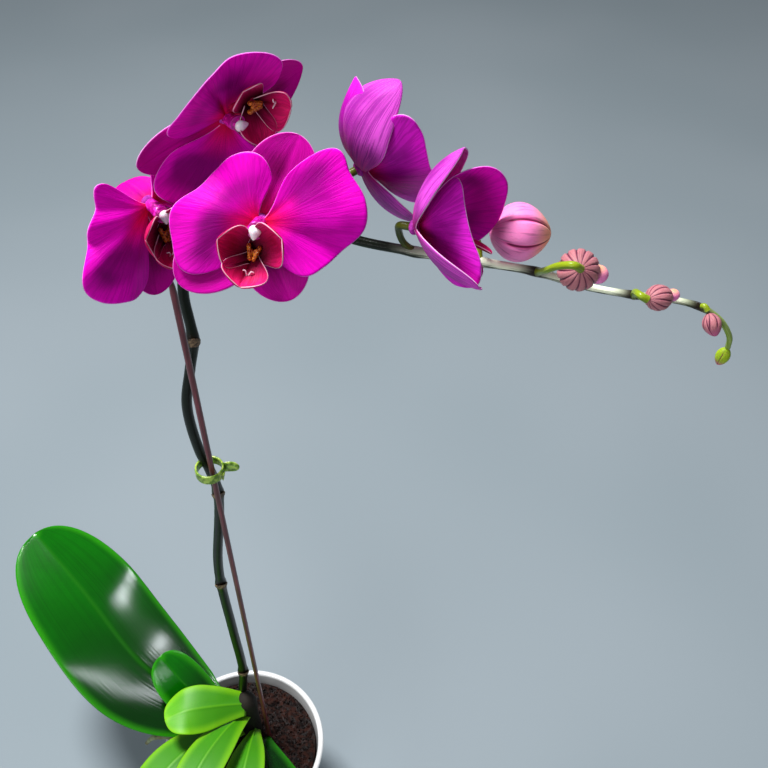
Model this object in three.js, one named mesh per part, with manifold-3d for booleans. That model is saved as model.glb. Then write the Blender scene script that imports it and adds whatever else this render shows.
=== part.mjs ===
// A potted moth orchid: one arching flower spike tied to a stake, fleshy leaves, a white glazed pot.
// Millimetres, +Z up. The origin is the centre of the pot's underside; X runs along the arch of the
// spike, and the blooms look towards -Y and up.
import * as THREE from 'three';
import { mergeVertices } from 'three/addons/utils/BufferGeometryUtils.js';
import Module from 'manifold-3d';

const wasm = await Module();
wasm.setup();

// Driving dimensions
const GAP = 0.3;
const POT = { rimRadius: 62.5, height: 110, footRadius: 43, wall: 4.6, floor: 7, lip: 2.4 };
const MIX = { level: 101, relief: 2.2, rings: 7, spokes: 28 };
const CROWN = { x: 4, y: 14, bottom: 78, top: 160, radius: 8.6 };
const STAKE = { radius: 1.6, foot: [18.5, 10.7, 44], tip: [17.9, -0.8, 573], tipLength: 5 };
const TEPAL_THICKNESS = 0.9;
const SEPAL_THICKNESS = 1.0;
const LIP_THICKNESS = 0.8;
const LEAF_THICKNESS = 2.0;

const DEG = Math.PI / 180;
const plant = new THREE.Group();

// Colours and finishes
const finish = (color, roughness) => new THREE.MeshStandardMaterial({ color, roughness, metalness: 0 });
const LOOKS = {
  petal: finish(0xb400a6, 0.55),
  lip: finish(0x9a0038, 0.45),
  callus: finish(0xc9701c, 0.5),
  cap: finish(0xf6eef2, 0.4),
  budPink: finish(0xd277a8, 0.5),
  budTan: finish(0xa96f77, 0.55),
  budGreen: finish(0x6d7a33, 0.55),
  stem: finish(0x2f4a26, 0.4),
  stake: finish(0x6b2630, 0.35),
  clip: finish(0x7da33a, 0.3),
  leafDark: finish(0x0f5a12, 0.25),
  leafYoung: finish(0x63a80f, 0.35),
  root: finish(0x6f7a52, 0.6),
  pot: finish(0xf2f3f4, 0.2),
  mix: finish(0x2c1712, 0.95),
};

// Solids
function solidOf(geometry) {
  geometry.deleteAttribute('normal');
  geometry.deleteAttribute('uv');
  const welded = mergeVertices(geometry);
  const vertProperties = new Float32Array(welded.attributes.position.array);
  const triVerts = new Uint32Array(welded.index.array);
  return new wasm.Manifold(new wasm.Mesh({ numProp: 3, vertProperties, triVerts }));
}

function geometryOf(solid) {
  const mesh = solid.getMesh();
  const geometry = new THREE.BufferGeometry();
  geometry.setAttribute('position', new THREE.BufferAttribute(new Float32Array(mesh.vertProperties), 3));
  geometry.setIndex(new THREE.BufferAttribute(new Uint32Array(mesh.triVerts), 1));
  return geometry;
}

const fuse = (solids) => solids.reduce((whole, next) => whole.add(next));

// The biggest body of a solid, without the slivers that a cut may leave
const mainBody = (solid) => solid.decompose().sort((a, b) => b.volume() - a.volume())[0];

function addPiece(parent, name, solid, material) {
  const mesh = new THREE.Mesh(geometryOf(solid), material);
  mesh.name = name;
  parent.add(mesh);
}

function indexed(vertices, triangles) {
  const geometry = new THREE.BufferGeometry();
  const flat = vertices.flatMap((p) => [p.x, p.y, p.z]);
  geometry.setAttribute('position', new THREE.BufferAttribute(new Float32Array(flat), 3));
  geometry.setIndex(triangles.flat());
  return geometry;
}

// The unit normal of a surface point(u, v), by small steps in u and v
function normalAt(point, u, v) {
  const step = 0.004;
  const du = point(Math.min(u + step, 1), v).sub(point(Math.max(u - step, 0), v));
  const dv = point(u, Math.min(v + step, 1)).sub(point(u, Math.max(v - step, -1)));
  return du.cross(dv).normalize();
}

// A thin closed blade: the surface point(u, v), u from 0 at the base to 1 and v from -1 to 1, made as
// two faces split into triangles alike. Rows that run to a single point say so in pointed.
function bladeSolid(point, { rows, columns, thickness, pointed, bunch = 1.5 }) {
  const vertices = [];
  const front = [];
  const back = [];
  for (let i = 0; i <= rows; i += 1) {
    const s = i / rows;
    const u = pointed.tip ? 1 - (1 - s) ** bunch : s;
    const single = (i === 0 && pointed.base) || (i === rows && pointed.tip);
    front.push([]);
    back.push([]);
    for (let j = 0; j <= columns; j += 1) {
      if (single && j > 0) {
        front[i].push(front[i][0]);
        back[i].push(back[i][0]);
        continue;
      }
      const v = single ? 0 : (2 * j) / columns - 1;
      const inner = THREE.MathUtils.clamp(u, pointed.base ? 0.02 : 0, pointed.tip ? 0.985 : 1);
      const offset = normalAt(point, inner, v).multiplyScalar(thickness / 2);
      const middle = point(u, v);
      front[i].push(vertices.push(middle.clone().add(offset)) - 1);
      back[i].push(vertices.push(middle.clone().sub(offset)) - 1);
    }
  }
  const triangles = [];
  const triangle = (a, b, c) => {
    if (a !== b && b !== c && a !== c) triangles.push([a, b, c]);
  };
  const quad = (a, b, c, d) => {
    triangle(a, b, c);
    triangle(a, c, d);
  };
  for (let i = 0; i < rows; i += 1) {
    for (let j = 0; j < columns; j += 1) {
      quad(front[i][j], front[i + 1][j], front[i + 1][j + 1], front[i][j + 1]);
      quad(back[i][j + 1], back[i + 1][j + 1], back[i + 1][j], back[i][j]);
    }
    quad(back[i][0], back[i + 1][0], front[i + 1][0], front[i][0]);
    quad(front[i][columns], front[i + 1][columns], back[i + 1][columns], back[i][columns]);
  }
  for (let j = 0; j < columns; j += 1) {
    if (!pointed.base) quad(front[0][j], front[0][j + 1], back[0][j + 1], back[0][j]);
    if (!pointed.tip) quad(front[rows][j + 1], front[rows][j], back[rows][j], back[rows][j + 1]);
  }
  return solidOf(indexed(vertices, triangles));
}

// A value read from a short list of samples spread evenly over -1 to 1, by a smooth curve
function sampled(list, v) {
  const place = ((v + 1) / 2) * (list.length - 1);
  const i = Math.min(Math.floor(place), list.length - 2);
  const t = place - i;
  const at = (k) => list[THREE.MathUtils.clamp(k, 0, list.length - 1)];
  const [a, b, c, d] = [at(i - 1), at(i), at(i + 1), at(i + 2)];
  const [slope, bow, twist] = [c - a, 2 * a - 5 * b + 4 * c - d, 3 * b - a - 3 * c + d];
  return 0.5 * (2 * b + slope * t + bow * t ** 2 + twist * t ** 3);
}

// A broad petal as a fan. turn is its middle direction and spread its half angle, in degrees; reach is
// its outline's distance and rise the outline's height, both from edge to edge. lift stands it up.
function fanSurface({ turn, spread, reach, rise, dome = 1.5, bend = 1.6, claw = 0.4, lift = 0 }) {
  const hinge = new THREE.Vector3(Math.sin(turn * DEG), -Math.cos(turn * DEG), 0);
  return (u, v) => {
    const opening = 1 - claw * (1 - u) ** 2;
    const angle = (turn + spread * v * opening) * DEG;
    const radius = sampled(reach, v) * u;
    const height = sampled(rise, v) * u ** bend + dome * Math.sin(Math.PI * u) * (1 - 0.6 * v * v);
    const flat = new THREE.Vector3(radius * Math.cos(angle), radius * Math.sin(angle), height);
    return flat.applyAxisAngle(hinge, lift * DEG);
  };
}

// The half width of a long blade: a claw that opens to the widest place, then a round or pointed end
function widthShare(u, { widest, claw, round }) {
  if (u < widest) return claw + (1 - claw) * Math.sin((Math.PI / 2) * (u / widest)) ** 1.2;
  const past = (u - widest) / (1 - widest);
  return Math.max(1 - past ** round, 0) ** (1 / round);
}

// A sepal, a cupped petal or a lip lobe: a strip whose middle line starts lift degrees above the
// flower's plane and turns by curl degrees on its way, and whose cross-section is an arc of cup degrees.
function stripSurface(shape) {
  const { turn, length, halfWidth, lift, curl, cup } = shape;
  const { back = 0, side = 0 } = shape;
  const form = { widest: 0.5, claw: 0.3, round: 2, ...shape };
  const out = new THREE.Vector3(Math.cos(turn * DEG), Math.sin(turn * DEG), 0);
  const up = new THREE.Vector3(0, 0, 1);
  const across = new THREE.Vector3().crossVectors(up, out);
  const bow = Math.abs(curl) < 0.5 ? 0.5 : curl;
  const hollow = Math.abs(cup) < 0.5 ? 0.5 : cup;
  return (u, v) => {
    const slope = (lift + bow * u) * DEG;
    const run = (length / (bow * DEG)) * (Math.sin(slope) - Math.sin(lift * DEG)) - back;
    const climb = (length / (bow * DEG)) * (Math.cos(lift * DEG) - Math.cos(slope));
    const normal = up.clone().multiplyScalar(Math.cos(slope)).addScaledVector(out, -Math.sin(slope));
    const half = halfWidth * widthShare(u, form);
    const arc = hollow * v * DEG;
    return out.clone().multiplyScalar(run).addScaledVector(up, climb)
      .addScaledVector(across, (half * Math.sin(arc)) / (hollow * DEG) + side * u * u)
      .addScaledVector(normal, (half * (1 - Math.cos(arc))) / (hollow * DEG));
  };
}

// A leaf: a midrib through a few points, with a soft fold along it and edges that may ripple
function leafSurface({ midrib, halfWidth, sideways, fold, ripple = 0, ...form }) {
  const curve = new THREE.CatmullRomCurve3(midrib.map((p) => new THREE.Vector3(...p)));
  const across = new THREE.Vector3(...sideways);
  const outline = { widest: 0.55, claw: 0.32, round: 1.9, ...form };
  return (u, v) => {
    const along = curve.getTangent(u);
    const side = across.clone().addScaledVector(along, -across.dot(along)).normalize();
    const up = new THREE.Vector3().crossVectors(along, side);
    const half = halfWidth * widthShare(u, outline);
    const valley = fold * (1 - 0.55 * u) * half * (Math.sqrt(v * v + 0.02) - Math.sqrt(0.02));
    const edge = ripple * Math.sin(9 * u + 2 * v) * v * v;
    return curve.getPoint(u).addScaledVector(side, half * v).addScaledVector(up, valley + edge);
  };
}

// A round stem along a curve, with the radius given at each share of its length; ends are closed
function limbSolid(points, radiusAt, { steps, sides }) {
  const curve = new THREE.CatmullRomCurve3(points.map((p) => new THREE.Vector3(...p)));
  const frames = curve.computeFrenetFrames(steps, false);
  const vertices = [];
  const triangles = [];
  for (let i = 0; i <= steps; i += 1) {
    const centre = curve.getPointAt(i / steps);
    for (let j = 0; j < sides; j += 1) {
      const angle = (2 * Math.PI * j) / sides;
      const radius = radiusAt(i / steps);
      vertices.push(centre.clone()
        .addScaledVector(frames.normals[i], radius * Math.cos(angle))
        .addScaledVector(frames.binormals[i], radius * Math.sin(angle)));
    }
  }
  for (let i = 0; i < steps; i += 1) {
    for (let j = 0; j < sides; j += 1) {
      const k = (j + 1) % sides;
      const [a, b, c, d] = [i * sides + j, i * sides + k, (i + 1) * sides + k, (i + 1) * sides + j];
      triangles.push([a, b, c], [a, c, d]);
    }
  }
  const ends = [[curve.getPointAt(0), 0, true], [curve.getPointAt(1), steps * sides, false]];
  for (const [centre, first, reversed] of ends) {
    const hub = vertices.push(centre) - 1;
    for (let j = 0; j < sides; j += 1) {
      const [a, b] = [first + j, first + ((j + 1) % sides)];
      triangles.push(reversed ? [hub, b, a] : [hub, a, b]);
    }
  }
  return solidOf(indexed(vertices, triangles));
}

function turned(geometry, axis) {
  const toAxis = new THREE.Quaternion().setFromUnitVectors(new THREE.Vector3(0, 1, 0), axis);
  return geometry.applyQuaternion(toAxis);
}

// A dome or knob: a ball scaled along the axes, then turned and moved
function ballSolid(radius, scale, place, sides = 12) {
  const ball = new THREE.SphereGeometry(radius, sides, Math.round(sides * 0.6));
  return solidOf(ball.scale(...scale).translate(...place));
}

// The pot: one turned shell with a thick round lip and four drain holes set off the centre
function makePot() {
  const { rimRadius, height, footRadius, wall, floor, lip } = POT;
  const profile = [[0, 0], [footRadius - 2, 0], [footRadius, 1.6], [rimRadius - 5.5, height - 26]];
  profile.push([rimRadius - 1.6, height - 8], [rimRadius, height - lip]);
  profile.push([rimRadius - 0.9, height - 0.6], [rimRadius - lip, height]);
  profile.push([rimRadius - wall + 0.8, height - 0.7], [rimRadius - wall, height - lip]);
  profile.push([rimRadius - wall - 1.4, height - 12], [footRadius - wall + 1, floor + 3]);
  profile.push([footRadius - wall - 2, floor], [0, floor]);
  const shell = new THREE.LatheGeometry(profile.map(([x, y]) => new THREE.Vector2(x, y)), 40);
  let pot = solidOf(shell.rotateX(Math.PI / 2));
  const drain = { radius: 4, ring: 24, count: 4 };
  for (let i = 0; i < drain.count; i += 1) {
    const angle = (i + 0.5) * (2 * Math.PI / drain.count);
    const hole = new THREE.CylinderGeometry(drain.radius, drain.radius, 3 * floor, 12).rotateX(Math.PI / 2);
    hole.translate(drain.ring * Math.cos(angle), drain.ring * Math.sin(angle), 0);
    pot = pot.subtract(solidOf(hole));
  }
  addPiece(plant, 'pot', pot, LOOKS.pot);
}

// The inner radius of the pot at a height, for what fills it
function potInside(z) {
  const { rimRadius, height, footRadius, wall, floor } = POT;
  const low = { z: floor + 3, r: footRadius - wall + 1 };
  const high = { z: height - 12, r: rimRadius - wall - 1.4 };
  return low.r + ((high.r - low.r) * (z - low.z)) / (high.z - low.z);
}

// The bark mix: a filled body whose top is a relief of chips, with plain holes for stake and crown
function makeMix() {
  const { level, relief, rings, spokes } = MIX;
  const base = POT.floor + 3.6;
  const edge = Math.min(potInside(level), POT.rimRadius - POT.wall - 1.4) - GAP - 0.2;
  const vertices = [new THREE.Vector3(0, 0, level)];
  const height = (x, y) => level + relief * (0.55 * Math.sin(0.41 * x + 1.7 * Math.sin(0.23 * y))
    + 0.45 * Math.sin(0.52 * y + 2.1 * Math.sin(0.19 * x) + 1));
  for (let i = 1; i <= rings; i += 1) {
    for (let j = 0; j < spokes; j += 1) {
      const angle = (2 * Math.PI * (j + 0.5 * (i % 2))) / spokes;
      const radius = (edge * i) / rings;
      const [x, y] = [radius * Math.cos(angle), radius * Math.sin(angle)];
      vertices.push(new THREE.Vector3(x, y, i === rings ? level - 1 : height(x, y)));
    }
  }
  const low = potInside(base) - GAP - 0.4;
  for (let j = 0; j < spokes; j += 1) {
    const angle = (2 * Math.PI * (j + 0.5 * (rings % 2))) / spokes;
    vertices.push(new THREE.Vector3(low * Math.cos(angle), low * Math.sin(angle), base));
  }
  const under = vertices.push(new THREE.Vector3(0, 0, base)) - 1;
  const triangles = [];
  for (let j = 0; j < spokes; j += 1) {
    const k = (j + 1) % spokes;
    triangles.push([0, 1 + j, 1 + k]);
    for (let i = 1; i < rings; i += 1) {
      const [a, b] = [1 + (i - 1) * spokes, 1 + i * spokes];
      if (i % 2) triangles.push([a + j, b + k, a + k], [a + j, b + j, b + k]);
      else triangles.push([a + j, b + j, a + k], [a + k, b + j, b + k]);
    }
    const [a, b] = [1 + (rings - 1) * spokes, 1 + rings * spokes];
    triangles.push([a + j, b + j, b + k], [a + j, b + k, a + k], [under, b + k, b + j]);
  }
  let mix = solidOf(indexed(vertices, triangles));
  const [wide, deep] = [CROWN.radius + 2 * GAP, 60];
  const crownHole = new THREE.CylinderGeometry(wide, wide, deep, 16).rotateX(Math.PI / 2);
  crownHole.translate(CROWN.x, CROWN.y, CROWN.bottom - GAP + deep / 2);
  mix = mix.subtract(solidOf(crownHole));
  const [x, y, z] = STAKE.foot;
  const stakeRoute = [[x, y, z - GAP], STAKE.tip];
  const stakeHole = limbSolid(stakeRoute, () => STAKE.radius + GAP, { steps: 1, sides: 12 });
  addPiece(plant, 'potting_mix', mix.subtract(stakeHole), LOOKS.mix);
}

// The crown: the short stem that the leaves and the spike grow from
function crownProfile(extra) {
  const { bottom, top, radius } = CROWN;
  const wide = radius + extra;
  const outline = [[0, bottom - extra], [wide - 1, bottom - extra], [wide, bottom + 3]];
  outline.push([wide, top - 12], [wide - 2.4, top - 3 + extra], [0, top + extra]);
  const points = outline.map(([x, y]) => new THREE.Vector2(x, y));
  const body = new THREE.LatheGeometry(points, 16).rotateX(Math.PI / 2);
  return solidOf(body.translate(CROWN.x, CROWN.y, 0));
}

// The leaves: midrib points from the crown outwards, with the side direction of each blade's base
const LEAVES = {
  leaf_1: {
    midrib: [[-2, 18, 113], [-36, 24, 128], [-79, 43, 151], [-127, 86, 188], [-171, 127, 212]],
    halfWidth: 45.5, sideways: [0.55, 0.82, 0], fold: 0.34, widest: 0.6, claw: 0.1, round: 2.4, ripple: 1.2,
    look: 'leafDark',
  },
  leaf_2: {
    midrib: [[-4, 18, 119], [-24, 17, 131], [-46, 29, 151], [-64, 44, 166]],
    halfWidth: 19, sideways: [0.5, 0.82, 0.1], fold: 0.3, widest: 0.6, claw: 0.3, round: 2.5,
    look: 'leafDark',
  },
  leaf_3: {
    midrib: [[5, 11, 154], [-17, 3, 166], [-35, -3, 171], [-51, -9, 169]],
    halfWidth: 17.5, sideways: [0.3, 0.9, 0.1], fold: 0.16, widest: 0.56, claw: 0.5, round: 2.5,
    look: 'leafYoung',
  },
  leaf_4: {
    midrib: [[-2, 8, 118], [-28, -12, 140], [-50, -38, 146], [-70, -70, 134], [-80, -102, 112]],
    halfWidth: 19, sideways: [-0.75, 0.62, 0], fold: 0.2, widest: 0.5, claw: 0.3, round: 2.2,
    look: 'leafYoung',
  },
  leaf_5: {
    midrib: [[5, 12, 139], [-9, -14, 157.5], [-24, -48, 164], [-34, -84, 148], [-38, -118, 122]],
    halfWidth: 16, sideways: [-0.9, 0.4, 0], fold: 0.2, widest: 0.48, claw: 0.26, round: 2.1,
    look: 'leafYoung',
  },
  leaf_6: {
    midrib: [[9, 8, 118], [9, -18, 140], [6, -48, 144], [2, -82, 130], [-1, -116, 104]],
    halfWidth: 15, sideways: [-1, 0, 0], fold: 0.3, widest: 0.48, claw: 0.26, round: 2.1,
    look: 'leafYoung',
  },
  leaf_7: {
    midrib: [[12, 6, 106], [24, -26, 115], [38, -62, 119], [50, -100, 110], [56, -136, 90]],
    halfWidth: 26, sideways: [-0.85, -0.5, 0], fold: 0.24, widest: 0.55, claw: 0.28, round: 2.1,
    look: 'leafDark',
  },
};

const ROOT = {
  radius: 2.5,
  route: [
    [-2, 12, 106.2], [-24, 6, 107.4], [-46, 3, 112.8], [-62, 3, 114.5], [-72, 3, 112], [-78, 2.5, 104],
  ],
};

function makeCrown() {
  addPiece(plant, 'crown', crownProfile(0), LOOKS.leafDark);
  const stem = limbSolid(SPIKE.slice(0, 5), () => SPIKE_RADIUS.base + 2 * GAP, { steps: 9, sides: 10 });
  const stake = limbSolid([STAKE.foot, STAKE.tip], () => STAKE.radius + 2 * GAP, { steps: 1, sides: 10 });
  const clearance = fuse([crownProfile(GAP), stem, stake]);
  for (const [name, leaf] of Object.entries(LEAVES)) {
    const rows = name === 'leaf_1' ? 11 : 8;
    const grid = { rows, columns: 4, thickness: LEAF_THICKNESS, pointed: { base: false, tip: true } };
    addPiece(plant, name, bladeSolid(leafSurface(leaf), grid).subtract(clearance), LOOKS[leaf.look]);
  }
  const taper = (s) => ROOT.radius * (1 - 0.4 * s ** 4);
  const root = limbSolid(ROOT.route, taper, { steps: 9, sides: 6 }).subtract(clearance);
  addPiece(plant, 'aerial_root', root, LOOKS.root);
}

// The spike's route, from the crown up beside the stake, over the arch and down to its tip
const SPIKE = [
  [0, 24, 116], [0.5, 23, 130], [1.1, 22, 150], [5.5, 20, 189], [5.6, 17, 252], [5.2, 15, 313],
  [7.2, 13, 342], [16.9, 9, 414], [15.2, 7, 438], [12, 7.6, 451], [10.1, 9, 485], [14.5, 12, 507],
  [18.3, 14, 525], [17.1, 18, 552], [20.5, 22, 569.5], [27.1, 27, 582.9],
  [38.3, 31, 590.7], [53, 33, 593.6], [70.6, 30, 589.8], [88.3, 23, 582.5], [95, 20, 580.3],
  [121.5, 15, 577], [155.4, 11, 573.4], [177.6, 9, 570], [199.6, 7, 563.5], [221.2, 4, 561],
  [236.1, 2, 560.4], [250.2, 0, 557.6], [260.9, -1, 550.6], [267.4, -2, 541], [268.2, -2, 535],
];
const SPIKE_RADIUS = { base: 3.4, arch: 2.5, tip: 1.3 };
const SPIKE_STEPS = 76;

const spikeCurve = new THREE.CatmullRomCurve3(SPIKE.map((p) => new THREE.Vector3(...p)));

// The share of the spike's length that lies nearest a place
function shareNear([x, y, z]) {
  const place = new THREE.Vector3(x, y, z);
  let best = 0;
  let nearest = Infinity;
  for (let i = 0; i <= 400; i += 1) {
    const gap = spikeCurve.getPointAt(i / 400).distanceTo(place);
    if (gap < nearest) [nearest, best] = [gap, i / 400];
  }
  return best;
}

// Joints of the stem, where it swells under a dry bract, and those that carry a flower or a bud
const BRACTS = [[5.5, 20, 189], [5.2, 15, 313], [16.9, 9, 414], [18.3, 14, 525]];
const PEDICELS = {
  a: [[60, 32.5, 592.8], [64, 24, 603], [64, 6, 609]],
  b: [[38.3, 31, 590.7], [35, 40, 606], [37, 42, 624]],
  c: [[24, 25, 578], [12, 30, 588], [7, 22, 600]],
  d: [[86, 24, 584], [82, 27, 594], [87, 28.5, 604]],
  e: [[123.5, 14.7, 576.8], [118.6, 15, 581.5], [116.4, 13, 589]],
  f: [[152, 11.2, 573.8], [151.6, 15.6, 579], [150, 17, 585.6], [151, 14.6, 589.8], [153.8, 12, 590.5]],
  g: [[177.6, 9, 570], [179.5, 0, 578], [183.5, -6, 585], [188.6, -9.6, 588], [192.3, -7.2, 584.3]],
  h: [[221.2, 4, 561], [219.5, -2, 567.5], [219.8, -8.6, 571], [222.8, -9.2, 569.4]],
  i: [[250.2, 0, 557.6], [251.6, -1.8, 559.4], [253, -2.9, 557.9]],
};

const STALK = { radius: 1.5, thin: 1.2, straight: 7.5, seat: 3.3 };

function spikeRadius(share, nodes) {
  const { base, arch, tip } = SPIKE_RADIUS;
  const bend = 0.66;
  const plain = share < bend
    ? base + (arch - base) * (share / bend)
    : arch + (tip - arch) * ((share - bend) / (1 - bend)) ** 1.2;
  const swelling = nodes.reduce((sum, at) => sum + Math.exp(-(((share - at) / 0.006) ** 2)), 0);
  return plain * (1 + 0.22 * Math.min(swelling, 1));
}

// A flower's stalk runs straight for its last stretch and ends just behind the flower's heart
function stalkRoute(letter, route) {
  const flower = OPEN_FLOWERS[letter] ?? CUP_FLOWERS[letter];
  if (!flower) return route;
  const heart = new THREE.Vector3(...flower.place);
  const behind = (distance) => heart.clone().addScaledVector(facing(flower), -distance).toArray();
  return [...route, behind(STALK.straight), behind(STALK.seat)];
}

function makeSpike() {
  const nodes = [...BRACTS, ...Object.values(PEDICELS).map((route) => route[0])].map(shareNear);
  const stem = limbSolid(SPIKE, (s) => spikeRadius(s, nodes), { steps: SPIKE_STEPS, sides: 7 });
  const stalks = Object.entries(PEDICELS).map(([letter, route]) => {
    const radius = letter === 'i' ? STALK.thin : STALK.radius;
    return limbSolid(stalkRoute(letter, route), (s) => radius * (1 + 0.25 * s * s), { steps: 7, sides: 5 });
  });
  addPiece(plant, 'flower_spike', fuse([stem, ...stalks]).subtract(crownProfile(GAP)), LOOKS.stem);
}

function makeStake() {
  const { foot, tip, radius, tipLength } = STAKE;
  const length = tip[2] - foot[2];
  const taper = (s) => (s * length > length - tipLength ? radius * 0.55 : radius);
  addPiece(plant, 'stake', limbSolid([foot, tip], taper, { steps: 6, sides: 8 }), LOOKS.stake);
}

// The clip: an open-topped ring round spike and stake, with a rounded finger tab and a pointed catch
const CLIP = { x: 16.2, y: 4.5, z: 439, inner: 6.6, wall: 1.3, height: 6, tab: [7.5, 8, 1.5] };
function makeClip() {
  const { x, y, z, inner, wall, height, tab } = CLIP;
  const ring = new THREE.Shape().absarc(0, 0, inner + wall, 0, 2 * Math.PI);
  ring.holes.push(new THREE.Path().absarc(0, 0, inner, 0, 2 * Math.PI, true));
  const band = new THREE.ExtrudeGeometry(ring, { depth: height, bevelEnabled: false, curveSegments: 10 });
  const plate = new THREE.Shape();
  plate.moveTo(0, -tab[1] / 2).lineTo(tab[0] * 0.6, -tab[1] / 2);
  plate.absarc(tab[0] * 0.6, 0, tab[1] / 2, -Math.PI / 2, Math.PI / 2);
  plate.lineTo(0, tab[1] / 2);
  const blade = new THREE.ExtrudeGeometry(plate, { depth: tab[2], bevelEnabled: false, curveSegments: 6 });
  blade.rotateX(Math.PI / 2).translate(inner + wall / 2, tab[2] / 2 + 2, height / 2);
  const catchPoint = new THREE.ConeGeometry(1.8, 7, 6).rotateX(Math.PI / 2).rotateX(Math.PI);
  catchPoint.translate(inner + wall - 1, -2.5, 0.5);
  const clip = fuse([solidOf(band), solidOf(blade), solidOf(catchPoint)]);
  addPiece(plant, 'spike_clip', clip.translate([x, y, z - height / 2]), LOOKS.clip);
}

// Flowers. Each has its own frame: x to its right, y up, z out of its face, and looks along az, el.
function facing({ az, el }) {
  const flat = Math.cos(el * DEG);
  return new THREE.Vector3(Math.sin(az * DEG) * flat, -Math.cos(az * DEG) * flat, Math.sin(el * DEG));
}

function flowerGroup({ place, az, el, roll }) {
  const right = new THREE.Vector3(Math.cos(az * DEG), Math.sin(az * DEG), 0);
  const out = facing({ az, el });
  const up = new THREE.Vector3().crossVectors(out, right);
  const group = new THREE.Group();
  group.quaternion.setFromRotationMatrix(new THREE.Matrix4().makeBasis(right, up, out));
  group.quaternion.multiply(new THREE.Quaternion().setFromAxisAngle(new THREE.Vector3(0, 0, 1), roll * DEG));
  group.position.set(...place);
  plant.add(group);
  return group;
}

const SEPAL = { cup: 14, widest: 0.52, claw: 0.34, round: 1.9, back: 1 };
const OPEN_FLOWERS = {
  a: {
    place: [61.7, -15.9, 614], az: 1.9, el: 35.1, roll: -26.5, lipTurn: 12,
    petals: [
      { turn: 177, spread: 80, reach: [21, 26, 27, 26, 27, 34, 35, 36, 25],
        rise: [2.5, 3.5, 1.5, -1, 0, 2.5, 1, -1.5, 0], dome: 2.5 },
      { turn: 22, spread: 62, reach: [20, 27.5, 30.5, 34, 41, 42, 40, 41, 26],
        rise: [1, 2.5, 1, -2, 0.5, 2, 1.5, 0, 1.5], dome: 3 },
    ],
    sepals: [
      { turn: 90, length: 38, halfWidth: 14.5, lift: -12, curl: 18 },
      { turn: 241, length: 42, halfWidth: 14, lift: -9, curl: 10 },
      { turn: 315, length: 34, halfWidth: 13.5, lift: -12, curl: 12 },
    ],
  },
  b: {
    place: [47.2, 21.9, 637.6], az: 35.3, el: -10.7, roll: 101, lipTurn: -12,
    lipShift: [7.5, 3.5, 0.4], lean: [3.6, 0],
    upperLobe: { turn: 34, length: 13, halfWidth: 8.5, lift: 0, curl: 45, cup: 40, claw: 0.7, round: 2.6 },
    petals: [
      { turn: 8, spread: 80, reach: [28, 32, 32, 30, 29, 29, 28.5, 28, 24],
        rise: [3, 5, 5, 3.5, 7, 9, 7.5, 3, -1], dome: 2 },
      { turn: 150, spread: 54, reach: [32, 41, 41, 40, 40, 41, 40, 37, 29],
        rise: [0, 3, 6, 9, 11, 12, 12, 10, 8], dome: 1 },
    ],
    sepals: [
      { turn: 97, length: 42, halfWidth: 12, lift: -8, curl: 8 },
      { turn: 262, length: 38, halfWidth: 15, lift: -8, curl: 10, side: 9, round: 1.6 },
      { turn: 208, length: 33, halfWidth: 12.5, lift: -10, curl: 20 },
    ],
  },
  c: {
    place: [14.4, 4.3, 608.7], az: 45.5, el: 17.7, roll: 8, lipTurn: -18,
    petals: [
      { turn: 182, spread: 56, reach: [26, 25, 24, 29, 32, 43.5, 45, 41, 38],
        rise: [0, 1, -1, 1, -2, 0, -1, 1, 0], dome: 3 },
      { turn: 8, spread: 56, reach: [20, 31, 34, 35, 35, 34, 33, 29, 19],
        rise: [3, 3, 2, 1, 0, 0, 1, 2, 2], dome: 1 },
    ],
    sepals: [
      { turn: 84, length: 18, halfWidth: 9, lift: -38, curl: -44 },
      { turn: 246, length: 40, halfWidth: 13, lift: -8, curl: 8 },
      { turn: 302, length: 32, halfWidth: 12, lift: -4, curl: 14 },
    ],
  },
};

// The lip: two cupped side lobes, a broad tongue below them, and a claw that reaches to the column
const LOBE = { halfWidth: 10.5, widest: 0.6, round: 2.2 };
const LIP = {
  hinge: [0.5, -12, 4],
  lobes: [
    { ...LOBE, turn: 170, length: 18, lift: 8, curl: 62, cup: 62, claw: 0.5 },
    { ...LOBE, turn: 38, length: 23, lift: 22, curl: 60, cup: 50, claw: 0.45 },
  ],
  tongue: {
    turn: -97, length: 16, halfWidth: 11, lift: 18, curl: 28, cup: 60, widest: 0.72, claw: 0.22, round: 2.5,
  },
  heel: { radius: 3, scale: [1.15, 0.8, 0.4], place: [0, -0.6, -0.2] },
  claw: { radius: 1, scale: [2.2, 5.4, 1.2], place: [-0.4, 4.4, -0.6] },
};
const CALLUS = { x: 0.6, y: -11.8, z: 7, radius: 1.9, scale: [0.8, 1.5, 0.8], apart: 1.3 };
const COLUMN = { bottom: -1.5, top: 8.6, foot: 2.7, head: 3.4, knots: [0, 0.35, 0.7, 1] };
const CAP = { radius: 2.5, scale: [1, 0.85, 0.7], above: 2.1 };
const NODDING = [0, -3.4];
const UPRIGHT = [0, 0];

// The column: a short pillar whose wider head leans over by lean, in x and y
function makeColumn(lean, lipTurn, extra = 0) {
  const { bottom, top, foot, head, knots } = COLUMN;
  const along = (share) => {
    const bend = share ** 1.6;
    return [lean[0] * bend, lean[1] * bend, bottom + (top + extra - bottom) * share];
  };
  const radiusAt = (share) => foot + (head - foot) * THREE.MathUtils.smoothstep(share, 0.3, 1) + extra;
  const column = limbSolid(knots.map(along), radiusAt, { steps: 4, sides: 8 });
  return column.rotate([0, 0, lipTurn]);
}

function makeCap(lean, lipTurn, extra = 0) {
  const place = [lean[0], lean[1], COLUMN.top + CAP.above];
  return ballSolid(CAP.radius + 1.5 * extra, CAP.scale, place, 10).rotate([0, 0, lipTurn]);
}

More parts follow.
